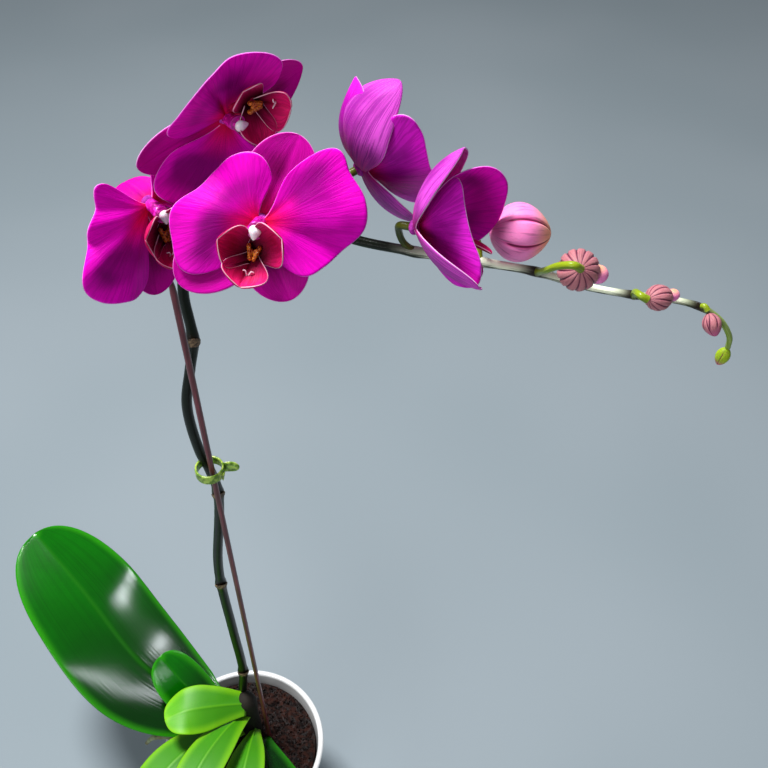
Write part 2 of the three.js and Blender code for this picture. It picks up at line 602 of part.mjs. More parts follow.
function makeCallus({ lipShift = [0, 0, 0], lipTurn }, extra = 0) {
  const { x, y, z, radius, scale, apart } = CALLUS;
  const ridge = (aside) => ballSolid(radius + 1.5 * extra, scale, [x + aside, y, z], 8);
  return fuse([ridge(-apart), ridge(apart)]).translate(lipShift).rotate([0, 0, lipTurn]);
}

function makeLip(flower) {
  const grid = { rows: 4, columns: 4, thickness: LIP_THICKNESS, pointed: { base: false, tip: true } };
  const [lower, upper] = LIP.lobes;
  const shapes = [lower, { ...upper, ...flower.upperLobe }, LIP.tongue];
  const blades = shapes.map((shape) => bladeSolid(stripSurface(shape), grid));
  const balls = [LIP.heel, LIP.claw].map(({ radius, scale, place }) => ballSolid(radius, scale, place, 8));
  const { lipShift = [0, 0, 0], lean = NODDING, lipTurn } = flower;
  const place = LIP.hinge.map((value, k) => value + lipShift[k]);
  const lip = fuse([...balls, ...blades]).translate(place).rotate([0, 0, lipTurn]);
  const neighbours = [makeColumn(lean, lipTurn, GAP), makeCap(lean, lipTurn, GAP), makeCallus(flower, GAP)];
  return mainBody(lip.subtract(fuse(neighbours)));
}

function makeOpenFlower(letter, flower) {
  const group = flowerGroup(flower);
  const fanGrid = { rows: 4, columns: 10, thickness: TEPAL_THICKNESS, pointed: { base: true, tip: false } };
  const sepalGrid = { rows: 5, columns: 4, thickness: SEPAL_THICKNESS, pointed: { base: false, tip: true } };
  const petals = flower.petals.map((shape) => bladeSolid(fanSurface(shape), fanGrid));
  const sepals = flower.sepals.map((shape) => bladeSolid(stripSurface({ ...SEPAL, ...shape }), sepalGrid));
  const heart = ballSolid(3.6, [1, 1, 0.6], [0, 0, -0.8], 10);
  const { lean = NODDING, lipTurn } = flower;
  const column = makeColumn(lean, lipTurn);
  addPiece(group, `flower_${letter}_tepals`, fuse([heart, column, ...petals, ...sepals]), LOOKS.petal);
  addPiece(group, `flower_${letter}_lip`, makeLip(flower), LOOKS.lip);
  addPiece(group, `flower_${letter}_anther_cap`, makeCap(lean, lipTurn), LOOKS.cap);
  addPiece(group, `flower_${letter}_callus`, makeCallus(flower), LOOKS.callus);
}

// Half-open flowers: every tepal still stands up round the mouth of a cup
const CUP = { halfWidth: 13, curl: 30, cup: 30, widest: 0.5, claw: 0.3, round: 2 };
const CLOSED_LIP = { turn: -90, length: 27, halfWidth: 4.4, lift: 86, curl: -16, cup: 48, claw: 0.5 };
const CUP_FLOWERS = {
  d: {
    place: [100, 28.7, 610.5], az: 115.5, el: 16.8, roll: 12.2, lipHinge: [0, -4.6, 4],
    petals: [
      { turn: 192, spread: 66, lift: 52, reach: [44, 40, 34, 31, 31, 31, 33, 39, 46],
        rise: [6, 3, 1, 0, 0, 0, 1, 3, 6], dome: -3 },
      { turn: 23, spread: 62, lift: 27, reach: [27, 33, 36, 37, 37, 37, 37, 35, 31],
        rise: [4, 2, 0, 0, 0, 0, 0, 2, 4], dome: -8 },
    ],
    sepals: [
      { turn: 90, length: 52, halfWidth: 18, lift: -24, curl: 122, cup: 40, widest: 0.45, round: 1.7 },
      { turn: -52, length: 34, lift: 26 },
      { turn: -132, length: 35, halfWidth: 16, lift: -12, curl: 62 },
    ],
  },
  e: {
    place: [123.4, 5.9, 596.2], az: 63.6, el: 11.2, roll: -26, lipHinge: [4.5, -2.6, 6.8],
    petals: [
      { turn: 188, spread: 57, lift: 72, reach: [29, 31, 30, 30, 32, 37.5, 38.5, 32, 24],
        rise: [5, 3, 1, 0, 0, 0, 1, 2, 3], dome: -3 },
      { turn: 32, spread: 62, lift: 58, reach: [13, 20, 28, 34, 38, 42, 40, 30, 19],
        rise: [6, 3, 1, 0, 0, 0, 1, 3, 6], dome: -3 },
    ],
    sepals: [
      { turn: 110, length: 46, halfWidth: 18, lift: 4, curl: 62, cup: 54, round: 1.7 },
      { turn: -75, length: 35, halfWidth: 12, lift: 40, curl: 34 },
      { turn: -116, length: 43, halfWidth: 15, lift: 30, curl: 54 },
    ],
  },
};

function makeCupFlower(letter, flower) {
  const group = flowerGroup(flower);
  const fanGrid = { rows: 4, columns: 8, thickness: TEPAL_THICKNESS, pointed: { base: true, tip: false } };
  const sepalGrid = { rows: 5, columns: 4, thickness: TEPAL_THICKNESS, pointed: { base: false, tip: true } };
  const petals = flower.petals.map((shape) => bladeSolid(fanSurface(shape), fanGrid));
  const sepals = flower.sepals.map((shape) => bladeSolid(stripSurface({ ...CUP, ...shape }), sepalGrid));
  const heart = ballSolid(3.4, [1, 1, 0.7], [0, 0, -0.4], 10);
  const column = makeColumn(UPRIGHT, 0);
  addPiece(group, `flower_${letter}_tepals`, fuse([heart, column, ...petals, ...sepals]), LOOKS.petal);
  const lipGrid = { rows: 5, columns: 4, thickness: LIP_THICKNESS, pointed: { base: false, tip: true } };
  const lip = bladeSolid(stripSurface(CLOSED_LIP), lipGrid).translate(flower.lipHinge);
  addPiece(group, `flower_${letter}_lip`, lip.subtract(makeColumn(UPRIGHT, 0, GAP)), LOOKS.lip);
  addPiece(group, `flower_${letter}_anther_cap`, makeCap(UPRIGHT, 0), LOOKS.cap);
}

// Buds: a closed egg given by its base, its axis and its size, with a lobe where a sepal swells out
const BUDS = {
  bud_f: { base: [155.2, 11.5, 590.4], axis: [0.93, 0.05, -0.1], length: 27, radius: 12.8, look: 'budPink' },
  bud_g: {
    base: [192.4, -6.5, 583.7], axis: [0.1, 0.72, -0.62], length: 18, radius: 9.2, look: 'budTan',
    lobe: { radius: 4.2, place: [202.5, 1.5, 574.6] },
  },
  bud_h: {
    base: [223.5, -8.7, 569.1], axis: [0.75, 0.5, -0.3], length: 15, radius: 5.8, look: 'budTan',
    lobe: { radius: 2.8, place: [236.2, -1.6, 565.6] },
  },
  bud_i: { base: [253.4, -3.6, 557], axis: [0.34, -0.59, -0.73], length: 11, radius: 4.2, look: 'budTan' },
  tip_bud: {
    base: [268.2, -2.1, 534.6], axis: [-0.25, -0.1, -0.95], length: 10, radius: 3.3, look: 'budGreen',
  },
};

function budSolid({ base, axis, length, radius, lobe }) {
  const direction = new THREE.Vector3(...axis).normalize();
  const rows = 7;
  const sides = 10;
  const vertices = [];
  const triangles = [];
  for (let i = 1; i < rows; i += 1) {
    const t = i / rows;
    const ring = radius * Math.sin(Math.PI * t ** 0.9) ** 0.62;
    for (let j = 0; j < sides; j += 1) {
      const angle = (2 * Math.PI * j) / sides;
      vertices.push(new THREE.Vector3(ring * Math.cos(angle), length * t, ring * Math.sin(angle)));
    }
  }
  const [bottom, top] = [vertices.length, vertices.length + 1];
  vertices.push(new THREE.Vector3(0, 0, 0), new THREE.Vector3(0, length, 0));
  for (let j = 0; j < sides; j += 1) {
    const k = (j + 1) % sides;
    triangles.push([bottom, j, k], [top, (rows - 2) * sides + k, (rows - 2) * sides + j]);
    for (let i = 0; i < rows - 2; i += 1) {
      const [a, b] = [i * sides, (i + 1) * sides];
      triangles.push([a + j, b + j, b + k], [a + j, b + k, a + k]);
    }
  }
  const body = solidOf(turned(indexed(vertices, triangles), direction).translate(...base));
  return lobe ? body.add(ballSolid(lobe.radius, [1.1, 1, 1], lobe.place, 8)) : body;
}

makePot();
makeMix();
makeCrown();
makeSpike();
makeStake();
makeClip();
for (const [letter, flower] of Object.entries(OPEN_FLOWERS)) makeOpenFlower(letter, flower);
for (const [letter, flower] of Object.entries(CUP_FLOWERS)) makeCupFlower(letter, flower);
for (const [name, bud] of Object.entries(BUDS)) addPiece(plant, name, budSolid(bud), LOOKS[bud.look]);

export default plant;
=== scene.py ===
# A potted moth orchid: finer blooms, buds, leaves, stems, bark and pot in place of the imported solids.
# Lengths are millimetres in the row frame, and meshes are made in metres.
import math

import bmesh
import bpy
import numpy as np
from mathutils import Matrix, Vector


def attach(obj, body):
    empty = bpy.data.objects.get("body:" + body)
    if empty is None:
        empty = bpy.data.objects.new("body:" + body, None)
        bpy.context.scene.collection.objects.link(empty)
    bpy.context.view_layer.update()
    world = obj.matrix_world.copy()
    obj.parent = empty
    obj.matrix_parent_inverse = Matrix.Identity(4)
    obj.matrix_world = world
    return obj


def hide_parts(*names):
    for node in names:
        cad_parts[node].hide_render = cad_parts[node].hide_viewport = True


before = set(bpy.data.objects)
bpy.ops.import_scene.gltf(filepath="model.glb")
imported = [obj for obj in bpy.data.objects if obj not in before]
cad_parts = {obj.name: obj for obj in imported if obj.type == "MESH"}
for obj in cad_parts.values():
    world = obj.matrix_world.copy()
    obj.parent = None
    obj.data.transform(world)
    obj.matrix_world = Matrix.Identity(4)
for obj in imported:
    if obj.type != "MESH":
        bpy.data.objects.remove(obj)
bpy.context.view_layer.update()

MM = 0.001
SEED = 7

# The plant's driving sizes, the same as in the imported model
POT = {"rim": 62.5, "height": 110.0, "foot": 43.0, "wall": 4.6, "floor": 7.0, "lip": 2.4}
DRAIN = {"holes": 4, "radius": 4.0, "from_centre": 24.0}
MIX = {"level": 101.0, "relief": 2.2, "edge": 55.6, "foot": 38.4, "off_floor": 3.6}
CROWN = {"x": 4.0, "y": 14.0, "bottom": 78.0, "top": 160.0, "radius": 8.6}
STAKE = {"radius": 1.6, "taper": 5.0, "foot": (18.5, 10.7, 44.0), "tip": (17.9, -0.8, 573.0)}
TEPAL_THICKNESS = 0.9
LIP_THICKNESS = 0.8
LEAF_THICKNESS = 2.0


# Plain geometry

def unit(vectors):
    return vectors / np.maximum(np.linalg.norm(vectors, axis=-1, keepdims=True), 1e-12)


def turned(points, axis, degrees):
    axis = unit(np.array(axis, float))
    cosine, sine = math.cos(math.radians(degrees)), math.sin(math.radians(degrees))
    along = (points @ axis)[..., None] * axis
    return points * cosine + np.cross(axis, points) * sine + along * (1 - cosine)


def smoothstep(low, high, values):
    t = np.clip((values - low) / (high - low), 0, 1)
    return t * t * (3 - 2 * t)


def bell(values, centre, width):
    return np.exp(-(((values - centre) / width) ** 2))


# A value read from a short list of samples spread evenly over -1 to 1, by a smooth curve
def sampled(samples, v):
    values = np.array(samples, float)
    place = (v + 1) / 2 * (len(values) - 1)
    i = np.clip(np.floor(place).astype(int), 0, len(values) - 2)
    t = place - i
    a = values[np.maximum(i - 1, 0)]
    b = values[i]
    c = values[i + 1]
    d = values[np.minimum(i + 2, len(values) - 1)]
    return 0.5 * (2 * b + (c - a) * t + (2 * a - 5 * b + 4 * c - d) * t**2 + (3 * b - a - 3 * c + d) * t**3)


# Points on the smooth curve through a route, at shares t of its control points
def curve_points(route, t):
    knots = np.array(route, float)
    last = len(knots) - 1
    knots = np.vstack([2 * knots[0] - knots[1], knots, 2 * knots[last] - knots[last - 1]])
    place = np.asarray(t, float) * last
    i = np.clip(np.floor(place).astype(int), 0, last - 1)
    w = (place - i)[..., None]
    p0, p1, p2, p3 = (knots[i + k] for k in range(4))
    pairs = ((p0, p1), (p1, p2), (p2, p3))
    d0, d1, d2 = (np.sqrt(np.linalg.norm(b - a, axis=-1))[..., None] for a, b in pairs)
    m1 = ((p1 - p0) / d0 - (p2 - p0) / (d0 + d1) + (p2 - p1) / d1) * d1
    m2 = ((p2 - p1) / d1 - (p3 - p1) / (d1 + d2) + (p3 - p2) / d2) * d1
    return p1 + m1 * w + (3 * (p2 - p1) - 2 * m1 - m2) * w**2 + (2 * (p1 - p2) + m1 + m2) * w**3


# Evenly spaced points along a route, with their distance from its start
def even_route(route, count):
    fine = curve_points(route, np.linspace(0, 1, 2400))
    run = np.concatenate([[0], np.cumsum(np.linalg.norm(np.diff(fine, axis=0), axis=1))])
    stops = np.linspace(0, run[-1], count)
    return np.stack([np.interp(stops, run, fine[:, k]) for k in range(3)], axis=1), stops


# Surfaces: point(u, v) with u from 0 at the base to 1 at the far end and v from -1 to 1 across

# A broad petal as a fan, its two shoulders rounded. ruffles wave its rim, folds crease it from the base.
def fan_surface(turn, spread, reach, rise, dome=1.5, bend=1.6, claw=0.4, lift=0, ruffles=(), folds=(),
                shoulder=0.26):
    hinge = (math.sin(math.radians(turn)), -math.cos(math.radians(turn)), 0)

    def point(u, v):
        opening = 1 - claw * (1 - u) ** 2
        angle = np.radians(turn + spread * v * opening)
        corner = np.clip((np.abs(v) - 0.8) / 0.2, 0, 1)
        radius = sampled(reach, v) * u * (1 - shoulder * (1 - np.sqrt(1 - corner**2)))
        height = sampled(rise, v) * u**bend + dome * np.sin(np.pi * u) * (1 - 0.6 * v * v)
        for size, waves, phase in ruffles:
            height = height + size * u**3 * np.sin(waves * v + phase)
        for place, width, depth in folds:
            height = height - depth * bell(v, place, width) * np.sin(np.pi * u**0.8) ** 0.8
        return turned(np.stack([radius * np.cos(angle), radius * np.sin(angle), height], -1), hinge, lift)

    return point


def width_share(u, widest, claw, rounding):
    opening = claw + (1 - claw) * np.sin(np.pi / 2 * np.minimum(u / widest, 1)) ** 1.2
    past = np.clip((u - widest) / (1 - widest), 0, 1)
    closing = np.maximum(1 - past**rounding, 0) ** (1 / rounding)
    return np.where(u < widest, opening, closing)


# A sepal or a lip lobe: a strip that bends lengthways by curl and crossways by cup, in degrees
def strip_surface(turn, length, half_width, lift, curl, cup, back=0, side=0, widest=0.5, claw=0.3,
                  rounding=2.0, keel=0.0, flare=0.0):
    least_bend = 0.5
    out = np.array([math.cos(math.radians(turn)), math.sin(math.radians(turn)), 0])
    up = np.array([0, 0, 1.0])
    across = np.cross(up, out)
    bow = math.radians(curl if abs(curl) > least_bend else least_bend)
    hollow = math.radians(cup if abs(cup) > least_bend else least_bend)
    start = math.radians(lift)

    def point(u, v):
        slope = start + bow * u
        run = length / bow * (np.sin(slope) - math.sin(start)) - back
        climb = length / bow * (math.cos(start) - np.cos(slope))
        normal = np.cos(slope)[..., None] * up - np.sin(slope)[..., None] * out
        half = half_width * width_share(u, widest, claw, rounding)
        arc = hollow * v
        rise = half * (1 - np.cos(arc)) / hollow - keel * bell(v, 0, 0.09) * np.sin(np.pi * u) ** 0.7
        rise = rise - flare * half * np.abs(v) ** 6
        sideways = half * np.sin(arc) / hollow + side * u * u
        middle = run[..., None] * out + climb[..., None] * up
        return middle + sideways[..., None] * across + rise[..., None] * normal

    return point


# A leaf: a midrib through a few points, a soft fold along it, and edges that may ripple
def leaf_surface(midrib, half_width, sideways, fold, widest, claw, rounding, ripple=0.0, groove=0.9):
    across = np.array(sideways, float)
    step = 0.0005

    def point(u, v):
        ahead = curve_points(midrib, np.minimum(u + step, 1))
        along = unit(ahead - curve_points(midrib, np.maximum(np.minimum(u, 1) - step, 0)))
        side = unit(across - (along @ across)[..., None] * along)
        up = np.cross(along, side)
        half = half_width * width_share(u, widest, claw, rounding)
        valley = fold * (1 - 0.55 * u) * half * (np.sqrt(v * v + 0.006) - math.sqrt(0.006))
        edge = ripple * np.sin(9 * u + 2 * v) * v * v
        height = valley + edge - groove * bell(v, 0, 0.05) * (1 - u)
        return curve_points(midrib, u) + side * (half * v)[..., None] + up * height[..., None]

    return point


# Parts: points, faces, a map over the blade, the distance from the rim, and a finish for each face

FAR_FROM_RIM = 9.0


def grid_faces(rows, columns, flip=False):
    i, j = np.meshgrid(np.arange(rows), np.arange(columns), indexing="ij")
    a = (i * (columns + 1) + j).ravel()
    b = a + columns + 1
    quads = np.stack([a, b, b + 1, a + 1], axis=1)
    return quads[:, ::-1] if flip else quads


def grid_run(middle, axis):
    steps = np.linalg.norm(np.diff(middle, axis=axis), axis=-1)
    pad = [(1, 0), (0, 0)] if axis == 0 else [(0, 0), (1, 0)]
    return np.pad(np.cumsum(steps, axis=axis), pad)


# A thin closed blade whose two faces meet in a soft rim. tip draws its rows together towards a pointed end,
# and taper thins it from its middle outwards.
def blade(point, grid, thickness, tip, finishes=(0, 1), taper=0.0):
    rows, columns = grid
    s = np.linspace(0, 1, rows + 1)
    t = np.linspace(-1, 1, columns + 1)
    u, v = np.meshgrid(1 - (1 - s) ** 2 if tip else s, 0.5 * t + 0.5 * np.sin(np.pi / 2 * t), indexing="ij")
    middle = point(u, v)
    step = 0.003
    inner = np.clip(u, 0.02, 0.985 if tip else 1)
    du = point(np.minimum(inner + step, 1), v) - point(np.maximum(inner - step, 0), v)
    dv = point(inner, np.minimum(v + step, 1)) - point(inner, np.maximum(v - step, -1))
    normal = unit(np.cross(du, dv))
    along = grid_run(middle, 0)
    aside = grid_run(middle, 1)
    edge = np.minimum(np.minimum(aside, aside[:, -1:] - aside), along[-1:] - along)
    closing = np.clip(np.minimum(edge, along) / (1.3 * thickness), 0, 1)
    half = 0.5 * thickness * np.sqrt(1 - (1 - closing) ** 2) * (1 - taper * np.abs(v))
    offset = normal * half[..., None]
    chart = np.stack([(v + 1) / 2, u], -1).reshape(-1, 2)
    count = len(chart)
    front = grid_faces(rows, columns)
    faces = np.vstack([front, grid_faces(rows, columns, True) + count])
    return {
        "points": np.vstack([(middle + offset).reshape(-1, 3), (middle - offset).reshape(-1, 3)]),
        "faces": faces,
        "chart": np.vstack([chart, chart]),
        "edge": np.tile(edge.ravel(), 2),
        "finish": np.repeat(finishes, len(front)),
    }


# A closed skin from point(u, v), with v running once round and both ends drawn to a point
def skin(point, grid, finish=0, flip=False):
    rows, columns = grid
    u, v = np.meshgrid(np.linspace(0, 1, rows + 1), np.linspace(-1, 1, columns + 1), indexing="ij")
    points = point(u, v).reshape(-1, 3)
    faces = grid_faces(rows, columns, flip)
    return {
        "points": points,
        "faces": faces,
        "chart": np.stack([(v + 1) / 2, u], -1).reshape(-1, 2),
        "edge": np.full(len(points), FAR_FROM_RIM),
        "finish": np.full(len(faces), finish),
    }


def moved(part, change):
    return {**part, "points": change(part["points"])}


# One mesh object from parts: doubles merged, smooth, faces outward, its place in its mesh
def piece(name, parts, materials):
    start = np.cumsum([0] + [len(p["points"]) for p in parts])
    points = np.vstack([p["points"] for p in parts]) * MM
    faces = np.vstack([p["faces"] + s for p, s in zip(parts, start)])
    mesh = bpy.data.meshes.new(name)
    mesh.from_pydata(points, [], faces.tolist())
    finishes = np.concatenate([p["finish"] for p in parts])
    mesh.polygons.foreach_set("material_index", finishes.astype(np.int32))
    corner = np.zeros(len(mesh.loops), np.int32)
    mesh.loops.foreach_get("vertex_index", corner)
    chart = np.vstack([p["chart"] for p in parts])[corner]
    mesh.uv_layers.new(name="blade").data.foreach_set("uv", chart.astype(np.float32).ravel())
    rim = mesh.attributes.new("edge", "FLOAT", "POINT")
    rim.data.foreach_set("value", np.concatenate([p["edge"] for p in parts]).astype(np.float32))
    merged = bmesh.new()
    merged.from_mesh(mesh)
    bmesh.ops.remove_doubles(merged, verts=merged.verts, dist=0.002 * MM)
    merged.to_mesh(mesh)
    merged.free()
    shade(mesh, True)
    return wear(link(name, mesh), materials)


def shade(mesh, smooth):
    mesh.polygons.foreach_set("use_smooth", [smooth] * len(mesh.polygons))


def link(name, mesh):
    made = bpy.data.objects.new(name, mesh)
    bpy.context.scene.collection.objects.link(made)
    return made


def wear(made, materials):
    for material in materials:
        made.data.materials.append(material)
    return made


# Puts a finished piece on the plant's body, in place of the nodes it stands for
def settle(made, slot, *nodes):
    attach(made, "root")
    if nodes:
        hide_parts(*nodes)
    return made


# Materials

def colour(code):
    channels = [int(code[i:i + 2], 16) / 255 for i in (0, 2, 4)]
    return [c / 12.92 if c <= 0.04045 else ((c + 0.055) / 1.055) ** 2.4 for c in channels] + [1]


# Adds a node with its settings; inputs are values or sockets to link from
def add(tree, kind, inputs=None, **settings):
    made = tree.nodes.new(kind)
    for name, value in settings.items():
        setattr(made, name, value)
    for key, value in (inputs or {}).items():
        if isinstance(value, bpy.types.NodeSocket):
            tree.links.new(value, made.inputs[key])
        else:
            made.inputs[key].default_value = value
    return made


def material(name, roughness, **constants):
    made = bpy.data.materials.new(name)
    made.use_nodes = True
    tree = made.node_tree
    shader = tree.nodes["Principled BSDF"]
    shader.inputs["Roughness"].default_value = roughness
    for key, value in constants.items():
        shader.inputs[key.replace("_", " ")].default_value = value
    return made, tree, shader


# Noise on the piece's own place, with a grain of so many millimetres
def grain(tree, size, detail=3.0, stretch=(1, 1, 1)):
    place = add(tree, "ShaderNodeTexCoord").outputs["Object"]
    scale = [1 / (size * MM * s) for s in stretch]
    mapped = add(tree, "ShaderNodeMapping", {"Vector": place, "Scale": scale}).outputs["Vector"]
    return add(tree, "ShaderNodeTexNoise", {"Vector": mapped, "Scale": 1.0, "Detail": detail}).outputs["Fac"]


# Streaks along a blade: noise on its map, so many across and so many along
def streaks(tree, chart, across, along, detail=2.0, sway=0.0):
    mapped = add(tree, "ShaderNodeMapping", {"Vector": chart, "Scale": (across, along, 1)}).outputs["Vector"]
    inputs = {"Vector": mapped, "Scale": 1.0, "Detail": detail, "Distortion": sway}
    return add(tree, "ShaderNodeTexNoise", inputs).outputs["Fac"]


# What a blade carries: its map, the place across and along it, and the distance from its rim in millimetres
def blade_values(tree):
    chart = add(tree, "ShaderNodeUVMap", uv_map="blade").outputs["UV"]
    place = add(tree, "ShaderNodeSeparateXYZ", {0: chart}).outputs
    edge = add(tree, "ShaderNodeAttribute", attribute_name="edge").outputs["Fac"]
    return chart, place["X"], place["Y"], edge


# Paints the base colour in layers. A layer is a colour and the largest share that it covers. It may also
# have a value and the two ends of the range over which it comes in.
def paint(tree, shader, first, *layers):
    tone = colour(first)
    for code, share, *band in layers:
        if band:
            value, low, high = band
            inputs = {"Value": value, "From Min": low, "From Max": high, "To Min": 0.0, "To Max": share}
            share = add(tree, "ShaderNodeMapRange", inputs, interpolation_type="SMOOTHSTEP").outputs["Result"]
        tone = add(tree, "ShaderNodeMix", {0: share, 6: tone, 7: colour(code)}, data_type="RGBA").outputs[2]
    tree.links.new(tone, shader.inputs["Base Color"])


# Gives the surface relief: a sum of patterns, each with its weight, over a depth in millimetres
def emboss(tree, shader, depth, *patterns):
    height = 0.0
    for pattern, weight in patterns:
        inputs = {0: pattern, 1: weight, 2: height}
        height = add(tree, "ShaderNodeMath", inputs, operation="MULTIPLY_ADD").outputs[0]
    inputs = {"Height": height, "Distance": depth * MM, "Strength": 1.0}
    tree.links.new(add(tree, "ShaderNodeBump", inputs).outputs["Normal"], shader.inputs["Normal"])


# Petal skin: a satin film of domed cells over magenta sap. Patches of painted shade darken its middle and
# stop short of the rim, the heart is redder, fine veins fan out from the claw, and the very rim is a thin
# pale line of painted light, for light passing through the edge. A low broad relief stands for the soft dents
# of a living petal. Real cells are about 0.05 mm wide, too fine to show, so they are drawn at 0.5 mm.
def petal_skin(name, face, dark_tone_and_shade, heart_and_shade, vein, rim, vein_share=0.2, heart_reach=0.5, rim_width=0.36,
               veins=64):
    made, tree, shader = material(name, 0.5, Specular_IOR_Level=0.07, Subsurface_Weight=0.15,
                                  Subsurface_Scale=1.0, Subsurface_Radius=(0.0025, 0.0003, 0.002))
    chart, _, along, edge = blade_values(tree)
    broad = streaks(tree, chart, veins, 2.2, 1.0, 0.6)
    fine = streaks(tree, chart, veins * 2.6, 7.0, 2.0, 0.5)
    net = add(tree, "ShaderNodeMath", {0: fine, 1: 0.45, 2: broad}, operation="MULTIPLY_ADD").outputs[0]
    lines = add(tree, "ShaderNodeMapRange", {"Value": net, "From Min": 0.66, "From Max": 0.84},
                interpolation_type="SMOOTHSTEP").outputs["Result"]
    inland = add(tree, "ShaderNodeMapRange", {"Value": edge, "From Min": 1.0, "From Max": 12.0},
                 interpolation_type="SMOOTHSTEP").outputs["Result"]
    vein_cover = add(tree, "ShaderNodeMath", {0: lines, 1: vein_share}, operation="MULTIPLY").outputs[0]
    paint(tree, shader, face,
          # Painted shade: the deep tone darkens patches of the petal's middle, away from the rim
          (dark_tone_and_shade, inland, grain(tree, 20, 1.0), 0.36, 0.62),
          # The heart colour is the redder heart; on the lip it also carries painted shade
          (heart_and_shade, 1.0, along, heart_reach, 0.02),
          (vein, vein_cover),
          # Painted light: the rim colour is a thin pale line along the edge, for light passing through it
          (rim, 0.8, edge, rim_width, rim_width * 0.25))
    emboss(tree, shader, 0.2, (grain(tree, 0.5, 2.0), 0.35), (lines, -0.25), (grain(tree, 20, 0.0), 22.0))
    return made


# Waxy flesh of the lip's crests and caps, thick enough to glow, with small spots. Its fine bumps are drawn
# coarser than real cells, so that they show.
def waxy_flesh(name, base, shade, spot, spot_size, roughness=0.3, glow=0.35):
    made, tree, shader = material(name, roughness, Subsurface_Weight=glow, Subsurface_Scale=1.0,
                                  Subsurface_Radius=(0.002, 0.001, 0.001), Coat_Weight=0.15)
    paint(tree, shader, base,
          (shade, 1.0, grain(tree, 4.0, 2.0), 0.35, 0.7),
          (spot, 1.0, grain(tree, spot_size, 1.0), 0.52, 0.62))
    emboss(tree, shader, 0.1, (grain(tree, 0.7, 2.0), 1.0))
    return made


# Leaf skin: a thick waxy cuticle. Fine parallel veins run along it, and painted shade darkens it towards the
# base. The midrib is paler, and so is the rim, partly its own margin and partly painted light through the
# thin edge.
def leaf_skin(name, face, dark_tone_and_shade, rim, rib, roughness, coat, veins=70, glow=0.12):
    made, tree, shader = material(name, roughness, Coat_Weight=coat, Coat_Roughness=0.22,
                                  Specular_IOR_Level=0.4, Subsurface_Weight=glow, Subsurface_Scale=1.0,
                                  Subsurface_Radius=(0.001, 0.0025, 0.0005))
    chart, across, along, edge = blade_values(tree)
    lines = streaks(tree, chart, veins, 1.6, 2.0, 0.2)
    aside = add(tree, "ShaderNodeMath", {0: across, 1: 0.5}, operation="SUBTRACT").outputs[0]
    from_rib = add(tree, "ShaderNodeMath", {0: aside}, operation="ABSOLUTE").outputs[0]
    paint(tree, shader, face,
          (dark_tone_and_shade, 0.25, grain(tree, 30, 3.0), 0.2, 0.8),
          # Painted shade: the leaf darkens towards its base
          (dark_tone_and_shade, 0.85, along, 0.95, 0.4),
          (dark_tone_and_shade, 0.25, lines, 0.45, 0.75),
          (rib, 0.35, from_rib, 0.03, 0.0),
          # Partly painted light: the paler rim band, for light shining through the thin edge
          (rim, 0.6, edge, 7.0, 0.0))
    emboss(tree, shader, 0.04, (lines, 1.0))
    return made


# Stem skin: a glossy green rind with long pale streaks and a painted highlight where it faces up along the
# arch, and dull brown at each joint. The pieces carry as attributes how far the pale streaks and painted
# highlight cover, how fresh and how jointed they are. around and along wind the streaks round the stem, and
# upward is how far a place faces up.
def stem_skin(name, dark, pale, joint):
    mottle, fresh_green = "0e1c08", "7c9a18"
    made, tree, shader = material(name, 0.28, Specular_IOR_Level=0.3)
    about = add(tree, "ShaderNodeAttribute", attribute_name="around").outputs["Vector"]
    run, streak_and_highlight_share, fresh, knot, up = (add(tree, "ShaderNodeAttribute", attribute_name=key).outputs["Fac"]
                                   for key in ("along", "pale", "fresh", "joint", "upward"))
    slow_run = add(tree, "ShaderNodeMath", {0: run, 1: 0.03}, operation="MULTIPLY").outputs[0]
    reel = add(tree, "ShaderNodeCombineXYZ", {2: slow_run}).outputs[0]
    wound = add(tree, "ShaderNodeVectorMath", {0: about, 1: reel}).outputs[0]
    lines = add(tree, "ShaderNodeTexNoise", {"Vector": wound, "Scale": 3.2, "Detail": 3.0}).outputs["Fac"]
    streak = add(tree, "ShaderNodeMapRange", {"Value": lines, "From Min": 0.42, "From Max": 0.58},
                 interpolation_type="SMOOTHSTEP").outputs["Result"]
    lit = add(tree, "ShaderNodeMath", {0: streak, 1: 0.6, 2: up}, operation="MULTIPLY_ADD").outputs[0]
    ripe = add(tree, "ShaderNodeMath", {0: fresh, 1: 0.85}, operation="MULTIPLY").outputs[0]
    paint(tree, shader, dark,
          (mottle, 0.5, grain(tree, 7.0, 3.0), 0.3, 0.7),
          # Pale streaks, and a painted highlight on the faces that look up
          (pale, streak_and_highlight_share, lit, -0.2, 0.7),
          (fresh_green, ripe),
          (joint, knot))
    emboss(tree, shader, 0.15, (grain(tree, 0.8, 2.0), 1.0), (lines, 0.6))
    return made


# White stoneware under a clear glossy glaze: faint pooling and orange peel, and a bare dry foot, whose
# height is in metres
def pot_glaze():
    made, tree, shader = material("white_stoneware_glaze", 0.12, Coat_Weight=0.5, Coat_Roughness=0.06)
    place = add(tree, "ShaderNodeTexCoord").outputs["Object"]
    high = add(tree, "ShaderNodeSeparateXYZ", {0: place}).outputs["Z"]
    dry_from, dry_below = 0.0025, 0.0012
    paint(tree, shader, "f1f2f2",
          ("e4e7e9", 1.0, grain(tree, 35, 2.0), 0.35, 0.7),
          ("d9cdb9", 1.0, high, dry_from, dry_below))
    rough = {"Value": high, "From Min": dry_from, "From Max": dry_below, "To Min": 0.12, "To Max": 0.72}
    rough = add(tree, "ShaderNodeMapRange", rough, interpolation_type="SMOOTHSTEP").outputs["Result"]
    tree.links.new(rough, shader.inputs["Roughness"])
    emboss(tree, shader, 0.12, (grain(tree, 6, 2.0), 1.0))
    return made


